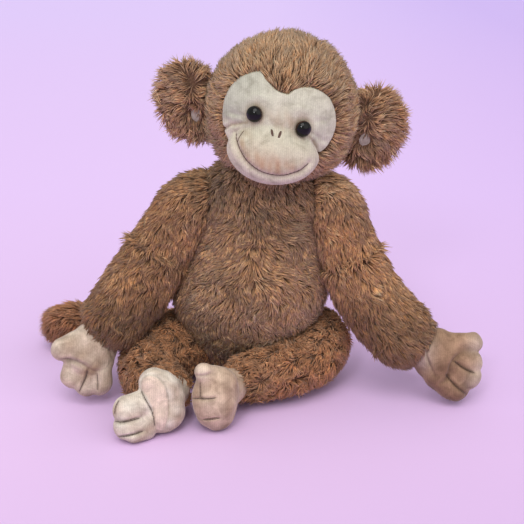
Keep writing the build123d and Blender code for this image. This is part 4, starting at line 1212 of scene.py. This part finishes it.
foot_r_parts = [
    ((-76, -82, 30), (-79, -90, 31), 18.0, 18.5), ((-88, -100, 47), (-84, -104, 24), 13.5, 15.5), ((-80, -99, 42), (-76, -101, 20), 14.5, 15.5), ((-86, -106, 18), (-80, -104, 17), 15.5, 15.5),
    ((-97, -108, 30), (-110, -114, 27.5), 12.5, 13.5, 2.5), ((-97, -113, 15.5), (-110.5, -119, 14), 12, 12.5, 1.5), ((-94, -116, 8.5), (-105, -123, 8.8), 8.5, 8.2, 2.0)]
plump("foot_cover_right", foot_r_parts, 4.5,
      [([(-122, -122, 21), (-116, -124, 21), (-107, -124, 22), (-98, -124, 25)], 2.9, 1.5, 0.85),
       ([(-120.5, -122, 5), (-112, -122, 5.5), (-104, -122, 7.5), (-96, -122, 11)], 2.7, 1.4, 0.82),
       ([(-115.5, -126, 43.5), (-119, -126, 37), (-120, -126, 30)], 1.5, 1.3, 0.55),
       ([(-97.5, -118, 49), (-94.6, -120, 43.3), (-90.5, -120, 35), (-88.1, -120, 28), (-87, -118, 20), (-86.3, -118, 12.7)], 1.8, 1.3, 0.85),
       ([(-97, -112, 57), (-91, -112, 61), (-84, -112, 60), (-77.5, -110, 52), (-75, -110, 42), (-74, -112, 30), (-75, -112, 18), (-79, -114, 9.5)], 1.0, 1.2, 0.30)],
      foot_r_colour, HANDS, "foot_right", ("foot_skin_right", "foot_stuffing_right"))

foot_l_parts = [
    ((-18, -66, 29), (-30, -85, 30), 15.5, 19.5), ((-32, -94, 40), (-34, -96, 22), 18.0, 19.5), ((-35, -98, 33), (-35, -99, 30), 19.5, 19.5),
    ((-38, -98, 50), (-43.5, -101, 58), 12, 8.5, 5.0), ((-33, -95, 44), (-30, -95, 44), 13, 12, 7.0), ((-34, -99, 14), (-33, -99, 13), 12.5, 12, 6.0)]
plump("foot_cover_left", foot_l_parts, 4.5,
      [([(-55, -108, 60), (-51.4, -116, 62.6), (-43, -120, 63.5), (-35, -118, 65.5)], 1.7, 1.6, 0.30),
       ([(-54.2, -122, 42.6), (-48, -122, 43), (-40, -126, 44.5), (-31.5, -126, 45.6)], 2.0, 1.4, 0.85),
       ([(-43.4, -126, 24.1), (-38, -126, 24.3), (-33, -126, 25), (-28.5, -126, 26)], 1.9, 1.4, 0.78),
       ([(-45.3, -124, 60), (-45.3, -126, 52), (-45.4, -126, 46)], 0.9, 1.3, 0.45)],
      blended((152, 124, 102), (206, 182, 160), 414, 0.25, highlight_spots=(((-45, -108, 62), 10, 0.6), ((-38, -118, 34), 12, 0.25), ((-36, -116, 10), 9, 0.2))), HANDS, "foot_left", ("foot_skin_left", "foot_stuffing_left"))

# ---------------------------------------------------------------- carried-over hard parts
for side in ("right", "left"):
    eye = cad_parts["eye_" + side]
    sx = -1 if side == "right" else 1
    lean17 = math.radians(17.0)
    ex, ez = A(math.cos(lean17), 0, -math.sin(lean17)), A(math.sin(lean17), 0, math.cos(lean17))
    axis = unit(ex * (21.4 * sx) + A(0, -60.8, 0) + ez * 1.0)
    c = A(22, 0, 272.5) + axis * 64.55
    eye.data.materials.clear()
    eye.data.materials.append(eye_material("glossy_eye_" + side, point(c), tuple(axis)))
    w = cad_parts["eye_washer_" + side]
    w.data.materials.clear(); w.data.materials.append(plastic_material("washer_plastic_" + side, (0.55, 0.53, 0.50), (0.72, 0.70, 0.67)))
    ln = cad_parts["ear_lining_" + side]
    lab = ln
    pi, pd, pw, ph = PATCH[side]
    V, F = Ball((0, 0, 0), (pw, 1.6, ph)).mesh(28, 16)
    ear, away = (ear_r, -1) if side == "right" else (ear_l, 1)
    c = ear.c - ear.M[0] * (away * pi) - ear.M[2] * pd - ear.M[1] * (ear.r[1] - 5.6)
    V = V @ ear.M + c
    V += 0.25 * waves(V, 9.0, 500)
    # the lining's grey-beige is darkened: partly its own colour, partly painted shade of the cupped recess
    col = np.tile(linear((170, 158, 148)), (len(V), 1)) * (1 + 0.08 * waves(V, 7.0, 501)[:, :1])
    ob = new_mesh("ear_lining_cover_" + side, V, F, col)
    ob.data.materials.append(FACE)
    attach(ob, "ear_" + side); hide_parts("ear_lining_" + side)

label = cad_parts["sewn_label"]
label.data.materials.clear(); label.data.materials.append(thread_material("label_weave", (0.62, 0.60, 0.56), (0.78, 0.76, 0.72)))

# ---------------------------------------------------------------- floor, light, camera
def floor_material():
    m, nt, p = material("floor_paper")
    tc = nt.nodes.new("ShaderNodeTexCoord")
    sep = nt.nodes.new("ShaderNodeSeparateXYZ"); nt.links.new(tc.outputs["Object"], sep.inputs[0])
    s = nt.nodes.new("ShaderNodeMath"); s.operation = "MULTIPLY_ADD"; s.inputs[1].default_value = 0.22; s.inputs[2].default_value = 0.30
    nt.links.new(sep.outputs["Y"], s.inputs[0])
    # darker and pinker towards the front: painted shade
    c = ramp(nt, s.outputs[0], [(0.20, tuple(linear((211, 182, 225)))), (0.27, tuple(linear((227, 195, 238)))), (0.45, tuple(linear((228, 200, 248)))), (1.0, tuple(linear((223, 202, 252))))])
    # darker towards the right: painted shade
    sx = nt.nodes.new("ShaderNodeMath"); sx.operation = "MULTIPLY_ADD"; sx.inputs[1].default_value = 0.5; sx.inputs[2].default_value = 0.5
    nt.links.new(sep.outputs["X"], sx.inputs[0])
    c = mixrgb(nt, "MULTIPLY", 1.0, c, ramp(nt, sx.outputs[0], [(0.52, (1.0, 1.0, 1.0)), (0.95, (0.86, 0.83, 0.95))]))
    n = node(nt, "ShaderNodeTexNoise", Scale=900.0, Detail=2.0)
    nt.links.new(tc.outputs["Object"], n.inputs["Vector"])
    g = ramp(nt, n.outputs["Fac"], [(0.3, (0.985, 0.985, 0.985)), (0.7, (1.0, 1.0, 1.0))])
    nt.links.new(mixrgb(nt, "MULTIPLY", 1.0, c, g), p.inputs["Base Color"])
    p.inputs["Roughness"].default_value = 0.85
    p.inputs["Specular IOR Level"].default_value = 0.15
    return m


bm = bmesh.new()
bmesh.ops.create_circle(bm, cap_ends=True, segments=96, radius=14.0)
me = bpy.data.meshes.new("floor"); bm.to_mesh(me); bm.free()
floor = bpy.data.objects.new("floor", me); bpy.context.scene.collection.objects.link(floor)
floor.data.materials.append(floor_material())


def area(name, loc, target, size, watts, colour):
    l = bpy.data.lights.new(name, "AREA"); l.shape = "DISK"; l.size = size; l.energy = watts; l.color = colour
    o = bpy.data.objects.new(name, l); bpy.context.scene.collection.objects.link(o)
    o.location = loc
    o.rotation_mode = "QUATERNION"
    o.rotation_quaternion = (Vector(target) - Vector(loc)).to_track_quat("-Z", "Y")
    return o


def sun(name, direction, strength, angle, colour):
    l = bpy.data.lights.new(name, "SUN"); l.energy = strength; l.angle = math.radians(angle); l.color = colour
    o = bpy.data.objects.new(name, l); bpy.context.scene.collection.objects.link(o)
    o.rotation_mode = "QUATERNION"
    o.rotation_quaternion = Vector(direction).to_track_quat("-Z", "Y")


sun("key", (0.05, 0.55, -0.95), 1.18, 40.0, (1.0, 0.985, 0.955))
sun("fill", (-0.8, 0.7, -0.6), 0.50, 60.0, (1.0, 0.99, 0.98))
area("window", (-0.42, -1.50, 1.15), (0, 0, 0.2), 0.34, 5.5, (0.97, 0.985, 1.0))

world = bpy.data.worlds.new("studio"); bpy.context.scene.world = world
world.use_nodes = True
wt = world.node_tree
bg = wt.nodes["Background"]
path = wt.nodes.new("ShaderNodeLightPath")
wm = wt.nodes.new("ShaderNodeMix"); wm.data_type = "RGBA"
wt.links.new(path.outputs["Is Camera Ray"], wm.inputs[0])
wm.inputs[6].default_value = (0.64, 0.635, 0.625, 1.0)
wm.inputs[7].default_value = (*linear((229, 206, 251)), 1.0)
wt.links.new(wm.outputs[2], bg.inputs[0])
bg.inputs[1].default_value = 1.0

cam = bpy.data.cameras.new("camera"); cam.sensor_width = 36.0; cam.lens = 36.0 * 1023.0 / 524.0
cam.clip_start = 0.05; cam.clip_end = 60.0
co = bpy.data.objects.new("camera", cam); bpy.context.scene.collection.objects.link(co)
co.location = (0.004009, -0.90435, 0.45782)
co.rotation_euler = (math.radians(70.0), 0, 0)
bpy.context.scene.camera = co
bpy.context.scene.view_settings.view_transform = "Standard"
bpy.context.scene.view_settings.look = "None"
